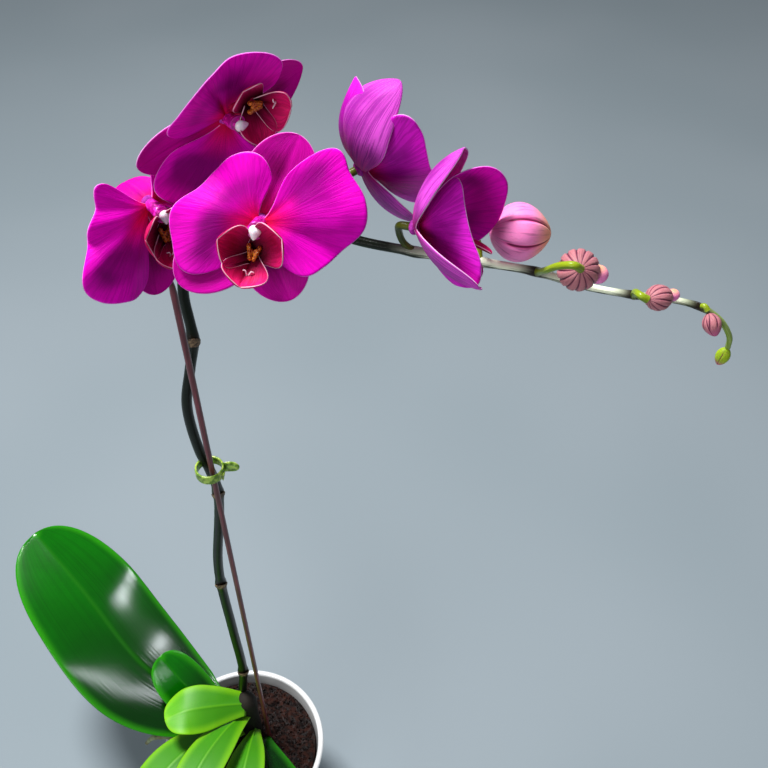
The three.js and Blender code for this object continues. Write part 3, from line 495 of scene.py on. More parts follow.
# Damp composted bark: nearly black where wet, fox-brown where a chip has broken or dried
def damp_bark():
    made, tree, shader = material("damp_bark", 0.75, Specular_IOR_Level=0.2)
    fleck = {"Value": grain(tree, 3.2, 4.0), "From Min": 0.42, "From Max": 0.66}
    fleck = add(tree, "ShaderNodeMapRange", fleck, interpolation_type="SMOOTHSTEP").outputs["Result"]
    paint(tree, shader, "0e0605",
          ("2e1812", fleck),
          ("44221a", 0.35, grain(tree, 7.5, 2.0), 0.5, 0.66))
    rough = {"Value": fleck, "To Min": 0.5, "To Max": 0.9}
    rough = add(tree, "ShaderNodeMapRange", rough, interpolation_type="SMOOTHSTEP").outputs["Result"]
    tree.links.new(rough, shader.inputs["Roughness"])
    emboss(tree, shader, 0.5, (grain(tree, 0.9, 4.0), 1.0))
    return made


# A wooden rod stained burgundy and sealed: long grain shows through
def stained_rod():
    made, tree, shader = material("burgundy_stained_rod", 0.36, Coat_Weight=0.25, Coat_Roughness=0.25)
    lines = grain(tree, 0.6, 3.0, (1, 1, 30))
    paint(tree, shader, "4a1019", ("7c2a38", 1.0, lines, 0.35, 0.7))
    emboss(tree, shader, 0.12, (lines, 1.0))
    return made


# Moulded polypropylene, yellow-green and cloudy, so light passes a little way into it
def clip_plastic():
    made, tree, shader = material("cloudy_green_polypropylene", 0.28, Subsurface_Weight=0.5,
                                  Subsurface_Scale=1.0, Subsurface_Radius=(0.002, 0.003, 0.001),
                                  Transmission_Weight=0.25, IOR=1.49)
    paint(tree, shader, "c0dc60", ("6c9420", 1.0, grain(tree, 2.6, 2.0), 0.4, 0.6))
    emboss(tree, shader, 0.05, (grain(tree, 1.2, 2.0), 1.0))
    return made


# Bud skin: satin sepals folded shut. Fine veins run to the tip, and painted shade darkens the seams and
# pleats.
# Its cells are drawn coarser than life, so that they show. A bud carries the height between its folds in
# place of the distance from a rim.
def bud_skin(name, crest, flank, groove, tip, veins=60):
    made, tree, shader = material(name, 0.45, Specular_IOR_Level=0.25, Subsurface_Weight=0.15,
                                  Subsurface_Scale=1.0, Subsurface_Radius=(0.002, 0.0008, 0.001))
    chart, _, along, height = blade_values(tree)
    lines = streaks(tree, chart, veins, 3.0, 2.0, 0.4)
    # Painted shade: flank colour near the creases, groove colour in them; groove also draws the veins
    paint(tree, shader, flank,
          (crest, 1.0, height, 0.1, 0.9),
          (tip, 1.0, along, 0.55, 0.95),
          (groove, 0.4, lines, 0.5, 0.72),
          (groove, 0.95, height, 0.4, 0.08))
    emboss(tree, shader, 0.15, (grain(tree, 0.6, 2.0), 1.0), (lines, 0.5))
    return made


# Velamen: the dry papery coat of an orchid root, silver-green with a brownish bloom
def root_coat():
    made, tree, shader = material("dry_velamen", 0.6)
    paint(tree, shader, "8b9670",
          ("5d6b3b", 1.0, grain(tree, 4, 3.0), 0.3, 0.7),
          ("7c5a3c", 1.0, grain(tree, 9, 2.0), 0.5, 0.7))
    emboss(tree, shader, 0.25, (grain(tree, 0.8, 3.0), 1.0))
    return made


# Matt grey paper with a faint broad cloudiness
def studio_floor():
    made, tree, shader = material("pale_grey_paper", 0.85)
    paint(tree, shader, "909ba2", ("8a969d", 1.0, grain(tree, 400, 1.0), 0.3, 0.7))
    return made


# Colours: face, dark tone and painted shade, heart (on the lip also painted shade), vein, rim (a line
# of painted light) for petals; base, shade, spot for flesh; face, dark tone and painted shade, rim
# (partly painted light), rib for leaves; dark, pale streak and painted highlight, joint for stems;
# crest, flank, groove, tip for buds, with painted shade in the flank and groove
PETAL = petal_skin("petal_satin", "ee00c4", "94007c", "f4003c", "64005c", "f89cf2")
PETAL_BACK = petal_skin("petal_back_satin", "dc1ccc", "b010a4", "d00a48", "84087c", "f3b4ea", 0.4)
SEPAL_FACE = petal_skin("sepal_satin", "cc00a0", "8c0064", "dc0044", "5c0044", "f48ae0")
SEPAL_BACK = petal_skin("sepal_back_satin", "d850cc", "a42c9c", "b8186c", "841888", "f8d4f4", 0.6, veins=40)
# The lip's heart colour is nearly black: its crimson darkened with painted shade in the hollow by the column
LIP_SKIN = petal_skin("lip_velvet", "ee1c74", "c00840", "240008", "5a0014", "f8b8d4", 0.3, 0.95, 0.22, 26)
LIP_BACK = petal_skin("lip_back_velvet", "c8185e", "b01050", "6c0420", "7c0428", "f6ced8", 0.4, 0.6, 0.24,
                      26)
COLUMN_FLESH = waxy_flesh("column_flesh", "c80ca0", "900868", "f02cc4", 1.6)
CAP_WAX = waxy_flesh("anther_cap_wax", "fbf4f8", "f0dcea", "eec4de", 2.4, 0.25)
CALLUS_WAX = waxy_flesh("callus_wax", "e07c1c", "b4541a", "7c1c14", 0.9, 0.35)
WHISKER_FLESH = waxy_flesh("whisker_flesh", "f8dce8", "eeb0cc", "f0c8d8", 1.5, 0.35)
LEAF_DARK = leaf_skin("leaf_dark_cuticle", "086c04", "011c02", "34a410", "267812", 0.11, 0.0)
LEAF_YOUNG = leaf_skin("leaf_young_cuticle", "60b400", "348400", "8cd00c", "74bc14", 0.5, 0.0, 60, 0.1)
LEAF_UNDER = leaf_skin("leaf_underside_cuticle", "4d7a30", "37601f", "7c9a4c", "6f9444", 0.5, 0.05)
SHEATH = leaf_skin("old_leaf_sheath", "1a140a", "0c0806", "2a2010", "241c0e", 0.8, 0.0, 24, 0.0)
STEM_DARK = stem_skin("spike_rind", "060c04", "f4fcde", "1e140c")
STALK_GREEN = stem_skin("stalk_rind", "2c3a10", "b8c024", "3a2416")
SCAR = waxy_flesh("dry_bract", "8c7454", "5a4430", "3a2a1c", 1.4, 0.7, 0.0)
BUD_PINK = bud_skin("bud_pink_satin", "ff8ccc", "f85cb0", "70083c", "ffb08c")
BUD_TAN = bud_skin("bud_tan_satin", "b8747c", "8c4460", "4c1a2c", "c8608c", 48)
BUD_GREEN = bud_skin("bud_green_satin", "a0c020", "7f9a24", "8c2c4c", "c06078", 40)
GLAZE = pot_glaze()
BARK = damp_bark()
ROD = stained_rod()
CLIP_PLASTIC = clip_plastic()
VELAMEN = root_coat()


# Stems that follow a path, by Geometry Nodes

def group_sockets(tree, entries, outgoing):
    for name, kind in entries:
        tree.interface.new_socket(name=name, in_out="OUTPUT" if outgoing else "INPUT", socket_type=kind)


# Sweeps a round section along a path whose points carry their own radius
def sweep_tree():
    tree = bpy.data.node_groups.new("stem_along_path", "GeometryNodeTree")
    group_sockets(tree, [("Path", "NodeSocketGeometry"), ("Sides", "NodeSocketInt"),
                         ("Rind", "NodeSocketMaterial")], False)
    group_sockets(tree, [("Stem", "NodeSocketGeometry")], True)
    given = add(tree, "NodeGroupInput").outputs
    radius = add(tree, "GeometryNodeInputNamedAttribute", {"Name": "radius"}, data_type="FLOAT")
    radius = radius.outputs["Attribute"]
    line = add(tree, "GeometryNodeMeshToCurve", {"Mesh": given["Path"]}).outputs["Curve"]
    line = add(tree, "GeometryNodeSetCurveRadius", {"Curve": line, "Radius": radius}).outputs["Curve"]
    ring = add(tree, "GeometryNodeCurvePrimitiveCircle", {"Resolution": given["Sides"], "Radius": 1.0})
    place = add(tree, "GeometryNodeInputPosition").outputs["Position"]
    ring = add(tree, "GeometryNodeStoreNamedAttribute",
               {"Geometry": ring.outputs["Curve"], "Name": "around", "Value": place},
               data_type="FLOAT_VECTOR").outputs["Geometry"]
    body = add(tree, "GeometryNodeCurveToMesh",
               {"Curve": line, "Profile Curve": ring, "Scale": radius, "Fill Caps": True}).outputs["Mesh"]
    body = add(tree, "GeometryNodeRealizeInstances", {"Geometry": body}).outputs["Geometry"]
    body = add(tree, "GeometryNodeSetShadeSmooth", {"Geometry": body}).outputs["Geometry"]
    body = add(tree, "GeometryNodeSetMaterial", {"Geometry": body, "Material": given["Rind"]})
    add(tree, "NodeGroupOutput", {"Stem": body.outputs["Geometry"]})
    return tree


def run_tree(source, tree, values):
    modifier = source.modifiers.new("make", "NODES")
    modifier.node_group = tree
    for item in tree.interface.items_tree:
        if item.item_type == "SOCKET" and item.in_out == "INPUT" and item.name in values:
            modifier[item.identifier] = values[item.name]
    source.data.update()
    ready = source.evaluated_get(bpy.context.evaluated_depsgraph_get())
    mesh = bpy.data.meshes.new_from_object(ready)
    source.modifiers.remove(modifier)
    bpy.data.objects.remove(source)
    return mesh


SWEEP = sweep_tree()


# A stem along a route, its ends filled in, with values for each point of its path
def stem(name, points, radii, rind, sides=16, **values):
    path = bpy.data.meshes.new(name)
    count = len(points)
    path.from_pydata(np.array(points) * MM, [(i, i + 1) for i in range(count - 1)], [])
    for key, numbers in {"radius": np.array(radii) * MM, **values}.items():
        layer = path.attributes.new(key, "FLOAT", "POINT")
        layer.data.foreach_set("value", np.broadcast_to(numbers, count).astype(np.float32))
    mesh = run_tree(link(name, path), SWEEP, {"Sides": sides, "Rind": rind})
    normals = np.zeros(len(mesh.vertices) * 3, np.float32)
    mesh.vertex_normals.foreach_get("vector", normals)
    layer = mesh.attributes.new("upward", "FLOAT", "POINT")
    layer.data.foreach_set("value", np.ascontiguousarray(normals.reshape(-1, 3)[:, 2]))
    return mesh


# Several meshes as one object; each keeps its own material
def gathered(name, meshes):
    materials = []
    whole = bmesh.new()
    for mesh in meshes:
        start = len(whole.faces)
        whole.from_mesh(mesh)
        whole.faces.ensure_lookup_table()
        used = [m for m in mesh.materials]
        for face in whole.faces[start:]:
            kind = used[min(face.material_index, len(used) - 1)]
            if kind not in materials:
                materials.append(kind)
            face.material_index = materials.index(kind)
    mesh = bpy.data.meshes.new(name)
    whole.to_mesh(mesh)
    whole.free()
    shade(mesh, True)
    return wear(link(name, mesh), materials)


END_RINGS = 5


# Rounds a tube's ends by drawing its last few rings in
def rounded_ends(points, radii, start=True):
    backwards, forwards = unit(points[0] - points[1]), unit(points[-1] - points[-2])
    steps = math.pi / 2 * np.linspace(0, 1, END_RINGS + 1)[1:]
    closing = np.maximum(np.cos(steps), 0.02)
    points = np.vstack([points, points[-1] + forwards * radii[-1] * np.sin(steps)[:, None]])
    radii = np.concatenate([radii, radii[-1] * closing])
    if start:
        points = np.vstack([points[0] + backwards * radii[0] * np.sin(steps[::-1])[:, None], points])
        radii = np.concatenate([radii[0] * closing[::-1], radii])
    return points, radii


# Rounds an outline's corners by cutting them again and again
def soften(outline, rounds):
    for _ in range(rounds):
        cut = [outline[0]]
        for a, b in zip(outline[:-1], outline[1:]):
            cut += [0.75 * a + 0.25 * b, 0.25 * a + 0.75 * b]
        outline = np.array(cut + [outline[-1]])
    return outline


# The pot: one turned and glazed shell, its corners rounded, with four drain holes off the centre
def make_pot():
    rim, height, foot, wall, floor, lip = (POT[k] for k in ("rim", "height", "foot", "wall", "floor", "lip"))
    inner_rim, inner_foot = rim - wall, foot - wall
    outside = [(0, 0), (foot - 12, 0), (foot - 2, 0), (foot, 1.6), (foot + 1.5, 10), (rim - 7, height - 34),
               (rim - 5.5, height - 26), (rim - 1.6, height - 8), (rim, height - lip), (rim - 0.5, height)]
    inside = [(inner_rim + 0.5, height), (inner_rim, height - lip), (inner_rim - 1.4, height - 12),
              (inner_rim - 2.4, height - 20), (inner_foot + 1, floor + 3), (inner_foot - 2, floor),
              (0, floor)]
    outline = soften(np.array(outside + inside, float), 3)
    run = np.concatenate([[0], np.cumsum(np.linalg.norm(np.diff(outline, axis=0), axis=1))])

    def point(u, v):
        place = u * run[-1]
        radius, high = (np.interp(place, run, outline[:, k]) for k in range(2))
        return np.stack([radius * np.cos(np.pi * v), radius * np.sin(np.pi * v), high], -1)

    shell = piece("white_pot", [skin(point, (220, 128), flip=True)], [GLAZE])
    drill = bmesh.new()
    away, radius = DRAIN["from_centre"], DRAIN["radius"] * MM
    for i in range(DRAIN["holes"]):
        angle = 2 * math.pi / DRAIN["holes"] * (i + 0.5)
        place = Vector((away * math.cos(angle), away * math.sin(angle), floor - 4))
        bmesh.ops.create_cone(drill, cap_ends=True, segments=32, radius1=radius, radius2=radius,
                              depth=20 * MM, matrix=Matrix.Translation(place * MM))
    cutter = bpy.data.meshes.new("drain_drill")
    drill.to_mesh(cutter)
    drill.free()
    tool = link("drain_drill", cutter)
    shell.modifiers.new("drain", "BOOLEAN").object = tool
    shell.modifiers["drain"].operation = "DIFFERENCE"
    ready = bpy.data.meshes.new_from_object(shell.evaluated_get(bpy.context.evaluated_depsgraph_get()))
    shell.modifiers.clear()
    shell.data = ready
    bpy.data.objects.remove(tool)
    settle(shell, "pot_glaze", "pot")


# The bark mix: a filled bed with a rough top, and loose chips and crumbs strewn over it

def mix_height(x, y):
    broad = 0.55 * np.sin(0.41 * x + 1.7 * np.sin(0.23 * y))
    broad = broad + 0.45 * np.sin(0.52 * y + 2.1 * np.sin(0.19 * x) + 1)
    fine = 0.3 * np.sin(1.9 * x + 2.3 * np.sin(1.1 * y)) + 0.3 * np.sin(1.7 * y + 2.6 * np.sin(1.3 * x))
    return MIX["level"] + MIX["relief"] * broad + fine


def make_bed():
    edge, low, base = MIX["edge"], MIX["foot"], POT["floor"] + MIX["off_floor"]

    def point(u, v):
        top = np.clip(u / 0.75, 0, 1)
        wall = np.clip((u - 0.75) / 0.15, 0, 1)
        under = np.clip((u - 0.9) / 0.1, 0, 1)
        radius = np.where(u < 0.75, edge * top, (edge + (low - edge) * wall) * (1 - under))
        x, y = radius * np.cos(np.pi * v), radius * np.sin(np.pi * v)
        rim = smoothstep(0.96, 1.0, top)
        surface = mix_height(x, y) * (1 - rim) + (MIX["level"] - 1) * rim
        high = surface * (1 - wall) + base * wall
        return np.stack([x, y, high], -1)

    settle(piece("bark_bed", [skin(point, (120, 160))], [BARK]), "bark_mix", "potting_mix")


# A shard of bark: a lump with broken flat faces
def shard(name, size, seed):
    draw = np.random.default_rng(seed)
    lump = bmesh.new()
    bmesh.ops.create_icosphere(lump, subdivisions=1, radius=1)
    for vertex in lump.verts:
        vertex.co *= draw.uniform(0.7, 1.15)
        vertex.co = Vector(vertex.co[k] * size[k] * MM for k in range(3))
    mesh = bpy.data.meshes.new(name)
    lump.to_mesh(mesh)
    lump.free()
    return link(name, mesh)


# Strews shards over a surface: random place, turn and size from a fixed seed
def strew_tree(shards):
    tree = bpy.data.node_groups.new("strewn_bark", "GeometryNodeTree")
    group_sockets(tree, [("Bed", "NodeSocketGeometry"), ("Spacing", "NodeSocketFloat"),
                         ("Smallest", "NodeSocketFloat"), ("Largest", "NodeSocketFloat"),
                         ("Seed", "NodeSocketInt"), ("Finish", "NodeSocketMaterial")], False)
    group_sockets(tree, [("Chips", "NodeSocketGeometry")], True)
    given = add(tree, "NodeGroupInput").outputs
    seed, full_turn, thickest = given["Seed"], 6.28, 400000.0
    spots = add(tree, "GeometryNodeDistributePointsOnFaces",
                {"Mesh": given["Bed"], "Distance Min": given["Spacing"], "Density Max": thickest,
                 "Seed": seed},
                distribute_method="POISSON").outputs["Points"]
    turn = add(tree, "FunctionNodeRandomValue", {"Min": (0, 0, 0), "Max": (full_turn,) * 3, "Seed": seed},
               data_type="FLOAT_VECTOR").outputs["Value"]
    size = add(tree, "FunctionNodeRandomValue", {2: given["Smallest"], 3: given["Largest"], "Seed": seed},
               data_type="FLOAT").outputs[1]
    stock = add(tree, "GeometryNodeCollectionInfo",
                {"Collection": shards, "Separate Children": True, "Reset Children": True})
    body = add(tree, "GeometryNodeInstanceOnPoints",
               {"Points": spots, "Instance": stock.outputs["Instances"], "Pick Instance": True,
                "Rotation": turn, "Scale": size})
    body = add(tree, "GeometryNodeRealizeInstances", {"Geometry": body.outputs["Instances"]})
    body = add(tree, "GeometryNodeSetMaterial",
               {"Geometry": body.outputs["Geometry"], "Material": given["Finish"]}).outputs["Geometry"]
    add(tree, "NodeGroupOutput", {"Chips": body})
    return tree


SHARDS = [(1, 0.55, 0.3), (1, 0.8, 0.4), (1, 0.35, 0.3)]
# Spacing, smallest and largest size: loose chips, then crumbs between them
CHIP_LAYERS = [(4.0, 1.3, 2.8), (1.9, 0.8, 1.7)]


# The open top of the bed, as a sheet to strew on, clear of the wall, the crown and the stake
def strewing_sheet():
    step, reach, clearance = 2.0, 54.0, 2.2
    steps = np.arange(-reach, reach + step, step)
    x, y = np.meshgrid(steps, steps, indexing="ij")
    points = np.stack([x, y, mix_height(x, y)], -1).reshape(-1, 3)
    faces = grid_faces(len(steps) - 1, len(steps) - 1, True)[:, ::-1]
    centre = points[faces].mean(axis=1)
    clear = np.hypot(centre[:, 0], centre[:, 1]) < MIX["edge"] - clearance
    clear &= np.hypot(centre[:, 0] - CROWN["x"], centre[:, 1] - CROWN["y"]) > CROWN["radius"] + 1
    clear &= np.hypot(centre[:, 0] - STAKE["foot"][0], centre[:, 1] - 9) > STAKE["radius"] + 1.6
    sheet = bpy.data.meshes.new("strewing_sheet")
    sheet.from_pydata(points * MM, [], faces[clear].tolist())
    return link("strewing_sheet", sheet)


def make_chips():
    shards = bpy.data.collections.new("shards")
    stock = [shard(f"shard_{i}", size, SEED + i) for i, size in enumerate(SHARDS)]
    for lump in stock:
        shards.objects.link(lump)
        bpy.context.scene.collection.objects.unlink(lump)
    tree = strew_tree(shards)
    layers = []
    for i, (spacing, smallest, largest) in enumerate(CHIP_LAYERS):
        sizes = {"Spacing": spacing * MM, "Smallest": smallest, "Largest": largest, "Seed": SEED + i}
        layers.append(run_tree(strewing_sheet(), tree, {**sizes, "Finish": BARK}))
    chips = gathered("bark_chips", layers)
    shade(chips.data, False)
    for lump in stock:
        bpy.data.objects.remove(lump)
    bpy.data.collections.remove(shards)
    settle(chips, "bark_mix")


# The crown: a short stem wrapped in old leaf bases
def make_crown():
    bottom, top, radius = CROWN["bottom"], CROWN["top"], CROWN["radius"]

    def point(u, v):
        closing = np.sqrt(np.clip(1 - np.clip((u - 0.88) / 0.12, 0, 1) ** 2, 0, 1))
        opening = np.clip(u / 0.02, 0, 1)
        ring = radius * closing * opening * (0.97 + 0.03 * np.cos(2 * np.pi * v + 14 * u))
        high = bottom + (top - bottom) * u
        x, y = CROWN["x"] + ring * np.cos(np.pi * v), CROWN["y"] + ring * np.sin(np.pi * v)
        return np.stack([x, y, high], -1)

    settle(piece("crown_stem", [skin(point, (60, 48), flip=True)], [SHEATH]), "leaf_dark", "crown")


LEAVES = {
    "leaf_1": dict(midrib=[(-2, 18, 113), (-36, 24, 128), (-79, 43, 151), (-127, 86, 188), (-171, 127, 212)],
                   half_width=45.5, sideways=(0.55, 0.82, 0), fold=0.34, widest=0.6, claw=0.1, rounding=2.4,
                   ripple=1.2),
    "leaf_2": dict(midrib=[(-4, 18, 119), (-24, 17, 131), (-46, 29, 151), (-64, 44, 166)],
                   half_width=19, sideways=(0.5, 0.82, 0.1), fold=0.3, widest=0.6, claw=0.3, rounding=2.5),
    "leaf_3": dict(midrib=[(5, 11, 154), (-17, 3, 166), (-35, -3, 171), (-51, -9, 169)], half_width=17.5,
                   sideways=(0.3, 0.9, 0.1), fold=0.16, widest=0.56, claw=0.5, rounding=2.5),
    "leaf_4": dict(midrib=[(-2, 8, 118), (-28, -12, 140), (-50, -38, 146), (-70, -70, 134),
                           (-80, -102, 112)],
                   half_width=19, sideways=(-0.75, 0.62, 0), fold=0.2, widest=0.5, claw=0.3, rounding=2.2),
    "leaf_5": dict(midrib=[(5, 12, 139), (-9, -14, 157.5), (-24, -48, 164), (-34, -84, 148),
                           (-38, -118, 122)],
                   half_width=16, sideways=(-0.9, 0.4, 0), fold=0.2, widest=0.48, claw=0.26, rounding=2.1),
    "leaf_6": dict(midrib=[(9, 8, 118), (9, -18, 140), (6, -48, 144), (2, -82, 130), (-1, -116, 104)],
                   half_width=15, sideways=(-1, 0, 0), fold=0.3, widest=0.48, claw=0.26, rounding=2.1),
    "leaf_7": dict(midrib=[(12, 6, 106), (24, -26, 115), (38, -62, 119), (50, -100, 110), (56, -136, 90)],
                   half_width=26, sideways=(-0.85, -0.5, 0), fold=0.24, widest=0.55, claw=0.28,
                   rounding=2.1),
}
YOUNG = ("leaf_3", "leaf_4", "leaf_5", "leaf_6")
LONG_LEAF_GRID, LEAF_GRID = (110, 56), (72, 40)
# A leaf's first face is its underside, so the two finishes are turned over
UNDER_AND_UPPER = (1, 0)


def make_leaves():
    for name, form in LEAVES.items():
        grid = LONG_LEAF_GRID if name == "leaf_1" else LEAF_GRID
        part = blade(leaf_surface(**form), grid, LEAF_THICKNESS, True, UNDER_AND_UPPER, taper=0.55)
        young = name in YOUNG
        made = piece(f"{name}_blade", [part], [LEAF_YOUNG if young else LEAF_DARK, LEAF_UNDER])
        settle(made, "leaf_young" if young else "leaf_dark", name)


ROOT_ROUTE = [(-2, 12, 106.2), (-24, 6, 107.4), (-46, 3, 112.8), (-62, 3, 114.5), (-72, 3, 112),
              (-78, 2.5, 104)]
ROOT_RADIUS = 2.5


def make_root():
    points, run = even_route(ROOT_ROUTE, 90)
    share = run / run[-1]
    radii = ROOT_RADIUS * (1 - 0.4 * share**4) * (1 + 0.05 * np.sin(0.9 * run) + 0.04 * np.sin(2.3 * run))
    points, radii = rounded_ends(points, radii)
    settle(gathered("aerial_root_coat", [stem("root", points, radii, VELAMEN)]), "root", "aerial_root")


# The spike, with all flower and bud stalks. Its radius is given at the base, at the arch and at the tip.
SPIKE = [
    (0, 24, 116), (0.5, 23, 130), (1.1, 22, 150), (5.5, 20, 189), (5.6, 17, 252), (5.2, 15, 313),
    (7.2, 13, 342), (16.9, 9, 414), (15.2, 7, 438), (12, 7.6, 451), (10.1, 9, 485), (14.5, 12, 507),
    (18.3, 14, 525), (17.1, 18, 552), (20.5, 22, 569.5), (27.1, 27, 582.9), (38.3, 31, 590.7),
    (53, 33, 593.6), (70.6, 30, 589.8), (88.3, 23, 582.5), (95, 20, 580.3), (121.5, 15, 577),
    (155.4, 11, 573.4), (177.6, 9, 570), (199.6, 7, 563.5), (221.2, 4, 561), (236.1, 2, 560.4),
    (250.2, 0, 557.6), (260.9, -1, 550.6), (267.4, -2, 541), (268.2, -2, 535),
]
SPIKE_RADIUS = (3.4, 2.5, 1.3)
ARCH_AT = 0.66
# Where joints turn brown, where pale streaks and painted highlight come in, where the rind turns fresh green
RINGED_FROM = (165, 10, 572)
PALE_AND_HIGHLIGHT_BETWEEN = [(110, 17, 578), (140, 13, 575)]
FRESH_BETWEEN = [(236, 2, 560), (258, 0, 553)]
BRACTS = [(5.5, 20, 189), (5.2, 15, 313), (16.9, 9, 414), (18.3, 14, 525)]
BRACT = {"length": 5.5, "below": 1.5, "thickness": 0.35}
STALKS = {
    "a": [(60, 32.5, 592.8), (64, 24, 603), (64, 6, 609)],
    "b": [(38.3, 31, 590.7), (35, 40, 606), (37, 42, 624)],
    "c": [(24, 25, 578), (12, 30, 588), (7, 22, 600)],
    "d": [(86, 24, 584), (82, 27, 594), (87, 28.5, 604)],
    "e": [(123.5, 14.7, 576.8), (118.6, 15, 581.5), (116.4, 13, 589)],
    "f": [(152, 11.2, 573.8), (151.6, 15.6, 579), (150, 17, 585.6), (151, 14.6, 589.8), (153.8, 12, 590.5)],
    "g": [(177.6, 9, 570), (179.5, 0, 578), (183.5, -6, 585), (188.6, -9.6, 588), (192.3, -7.2, 584.3)],
    "h": [(221.2, 4, 561), (219.5, -2, 567.5), (219.8, -8.6, 571), (222.8, -9.2, 569.4)],
    "i": [(250.2, 0, 557.6), (251.6, -1.8, 559.4), (253, -2.9, 557.9)],
}


def nearest_share(points, place):
    return np.argmin(np.linalg.norm(points - np.array(place), axis=1)) / (len(points) - 1)


def spike_radius(share, joints):
    base, arch, tip = SPIKE_RADIUS
    past = np.clip((share - ARCH_AT) / (1 - ARCH_AT), 0, 1) ** 1.2
    plain = np.where(share < ARCH_AT, base + (arch - base) * share / ARCH_AT, arch + (tip - arch) * past)
    swelling = sum(bell(share, at, 0.006) for at in joints)
    return plain * (1 + 0.24 * np.minimum(swelling, 1))


# The dry scale that half wraps the stem below each joint, a thin pointed strip laid against it
def bract(points, share, radii, aside):
    index = int(share * (len(points) - 1))
    along = unit(points[min(index + 6, len(points) - 1)] - points[index])
    side = unit(np.cross(along, np.array(aside, float)))
    front = np.cross(side, along)

    def point(u, v):
        angle = v * 1.5 * width_share(u, 0.3, 0.95, 1.6)
        ring = radii[index] * (1.02 + 0.16 * u)
        offset = front * (ring * np.cos(angle))[..., None] + side * (ring * np.sin(angle))[..., None]
        return points[index] + offset + along * (BRACT["length"] * u - BRACT["below"])[..., None]

    return blade(point, (20, 16), BRACT["thickness"], True, (0, 0))


# A bloom's stalk ends just behind its heart, and comes in along the way it faces
def stalk_route(letter, route):
    flower = OPEN_FLOWERS.get(letter) or CUP_FLOWERS.get(letter)
    if not flower:
        return route
    behind = [np.array(flower["place"]) - facing(flower) * distance for distance in (7.5, 3.3, 0.5)]
    return list(route) + behind


BLOOM_LETTERS = "abcde"
STALK, THIN_STALK = 1.5, 1.2


# The finishes of the spike by its share: brown joints, pale streaks and a painted highlight on the arch,
# fresh tip
def spike_values(points, share, joints, buds):
    def turning(between):
        return smoothstep(*(nearest_share(points, place) for place in between), share)

    late = [at for at in buds if at > nearest_share(points, RINGED_FROM)]
    ring = np.minimum(sum(bell(share, at - 0.002, 0.009) for at in late), 1)
    scar = np.minimum(sum(0.7 * bell(share, at + 0.004, 0.0025) for at in joints), 1)
    return {"pale": turning(PALE_AND_HIGHLIGHT_BETWEEN), "fresh": turning(FRESH_BETWEEN), "joint": np.maximum(ring, scar)}


def make_stalk(letter, route):
    path, reach = even_route(stalk_route(letter, route), 60)
    share = reach / reach[-1]
    of_bloom = letter in BLOOM_LETTERS
    radius = THIN_STALK if letter == "i" else STALK
    radii = radius * (1 + 0.25 * share * share + 0.5 * bell(share, 0, 0.08))
    # Bloom stalks get little of the pale streaks and painted highlight, bud stalks much
    return stem(f"stalk_{letter}", path, radii, STALK_GREEN, 14, along=reach, pale=0.15 if of_bloom else 0.8,
                fresh=0.0 if of_bloom else 0.8, joint=0.8 * bell(share, 0, 0.12))


def make_spike():
    points, run = even_route(SPIKE, 700)
    share = run / run[-1]
    joints = [nearest_share(points, place) for place in BRACTS]
    buds = [nearest_share(points, route[0]) for route in STALKS.values()]
    radii = spike_radius(share, joints + buds)
    values = {"along": run, **spike_values(points, share, joints, buds)}
    values = {key: np.pad(numbers, END_RINGS, "edge") for key, numbers in values.items()}
    meshes = [stem("spike", *rounded_ends(points, radii), STEM_DARK, 24, **values)]
    meshes += [make_stalk(letter, route) for letter, route in STALKS.items()]
    settle(gathered("spike_rind", meshes), "stem", "flower_spike")
    sheaths = [bract(points, at, radii, (0.3, -1, 0)) for at in joints]
    settle(piece("spike_bracts", sheaths, [SCAR]), "stem")


def make_stake():
    foot, tip = np.array(STAKE["foot"]), np.array(STAKE["tip"])
    share = np.linspace(0, 1, 160)
    points = foot + (tip - foot) * share[:, None]
    length = np.linalg.norm(tip - foot)
    past = np.maximum(share * length - (length - STAKE["taper"]), 0)
    radii = STAKE["radius"] * (1 - 0.09 * past)
    points, radii = rounded_ends(points, radii)
    settle(gathered("stake_rod", [stem("stake", points, radii, ROD, 20)]), "stake", "stake")


# The clip: a round-edged ring that holds spike and stake, a rounded finger tab and a pointed catch. The tab
# has its length, its width and its thickness.
CLIP = {"x": 16.2, "y": 4.5, "z": 439.0, "inner": 6.6, "wall": 1.3, "height": 6.0, "tab": (7.5, 8.0, 1.5)}


def make_clip():
    inner, wall, height, tab = (CLIP[k] for k in ("inner", "wall", "height", "tab"))
    place = np.array([CLIP["x"], CLIP["y"], CLIP["z"] - height / 2])

    def ring(u, v):
        angle = 2 * np.pi * u
        bulge = np.sign(np.cos(np.pi * v)) * np.abs(np.cos(np.pi * v)) ** 0.5
        rise = np.sign(np.sin(np.pi * v)) * np.abs(np.sin(np.pi * v)) ** 0.5
        radius = inner + wall / 2 * (1 + bulge)
        return np.stack([radius * np.cos(angle), radius * np.sin(angle), height / 2 * (1 + rise)], -1)

    def plate(u, v):
        half = tab[1] / 2 * width_share(u, 0.45, 0.9, 2.0)
        x = inner + wall / 2 + (tab[0] * 0.6 + tab[1] / 2) * u
        return np.stack([x, 2 + 0.5 * np.sin(3 * u) + 0 * v, height / 2 + half * v], -1)

    def point(u, v):
        ring_radius = 1.8 * np.clip(1 - u, 0, 1) ** 0.8 * np.clip(u / 0.04, 0, 1)
        x = inner + wall - 1 + ring_radius * np.cos(np.pi * v)
        return np.stack([x, -2.5 + ring_radius * np.sin(np.pi * v), 4.0 - 7.0 * u], -1)

    parts = [skin(ring, (96, 32)), blade(plate, (40, 28), tab[2], True, (0, 0)), skin(point, (40, 24))]
    clip = piece("clip_ring", [moved(part, lambda p: p + place) for part in parts], [CLIP_PLASTIC])
    settle(clip, "clip", "spike_clip")


# Flowers. Each has its own frame: x to its right, y up, z out of its face

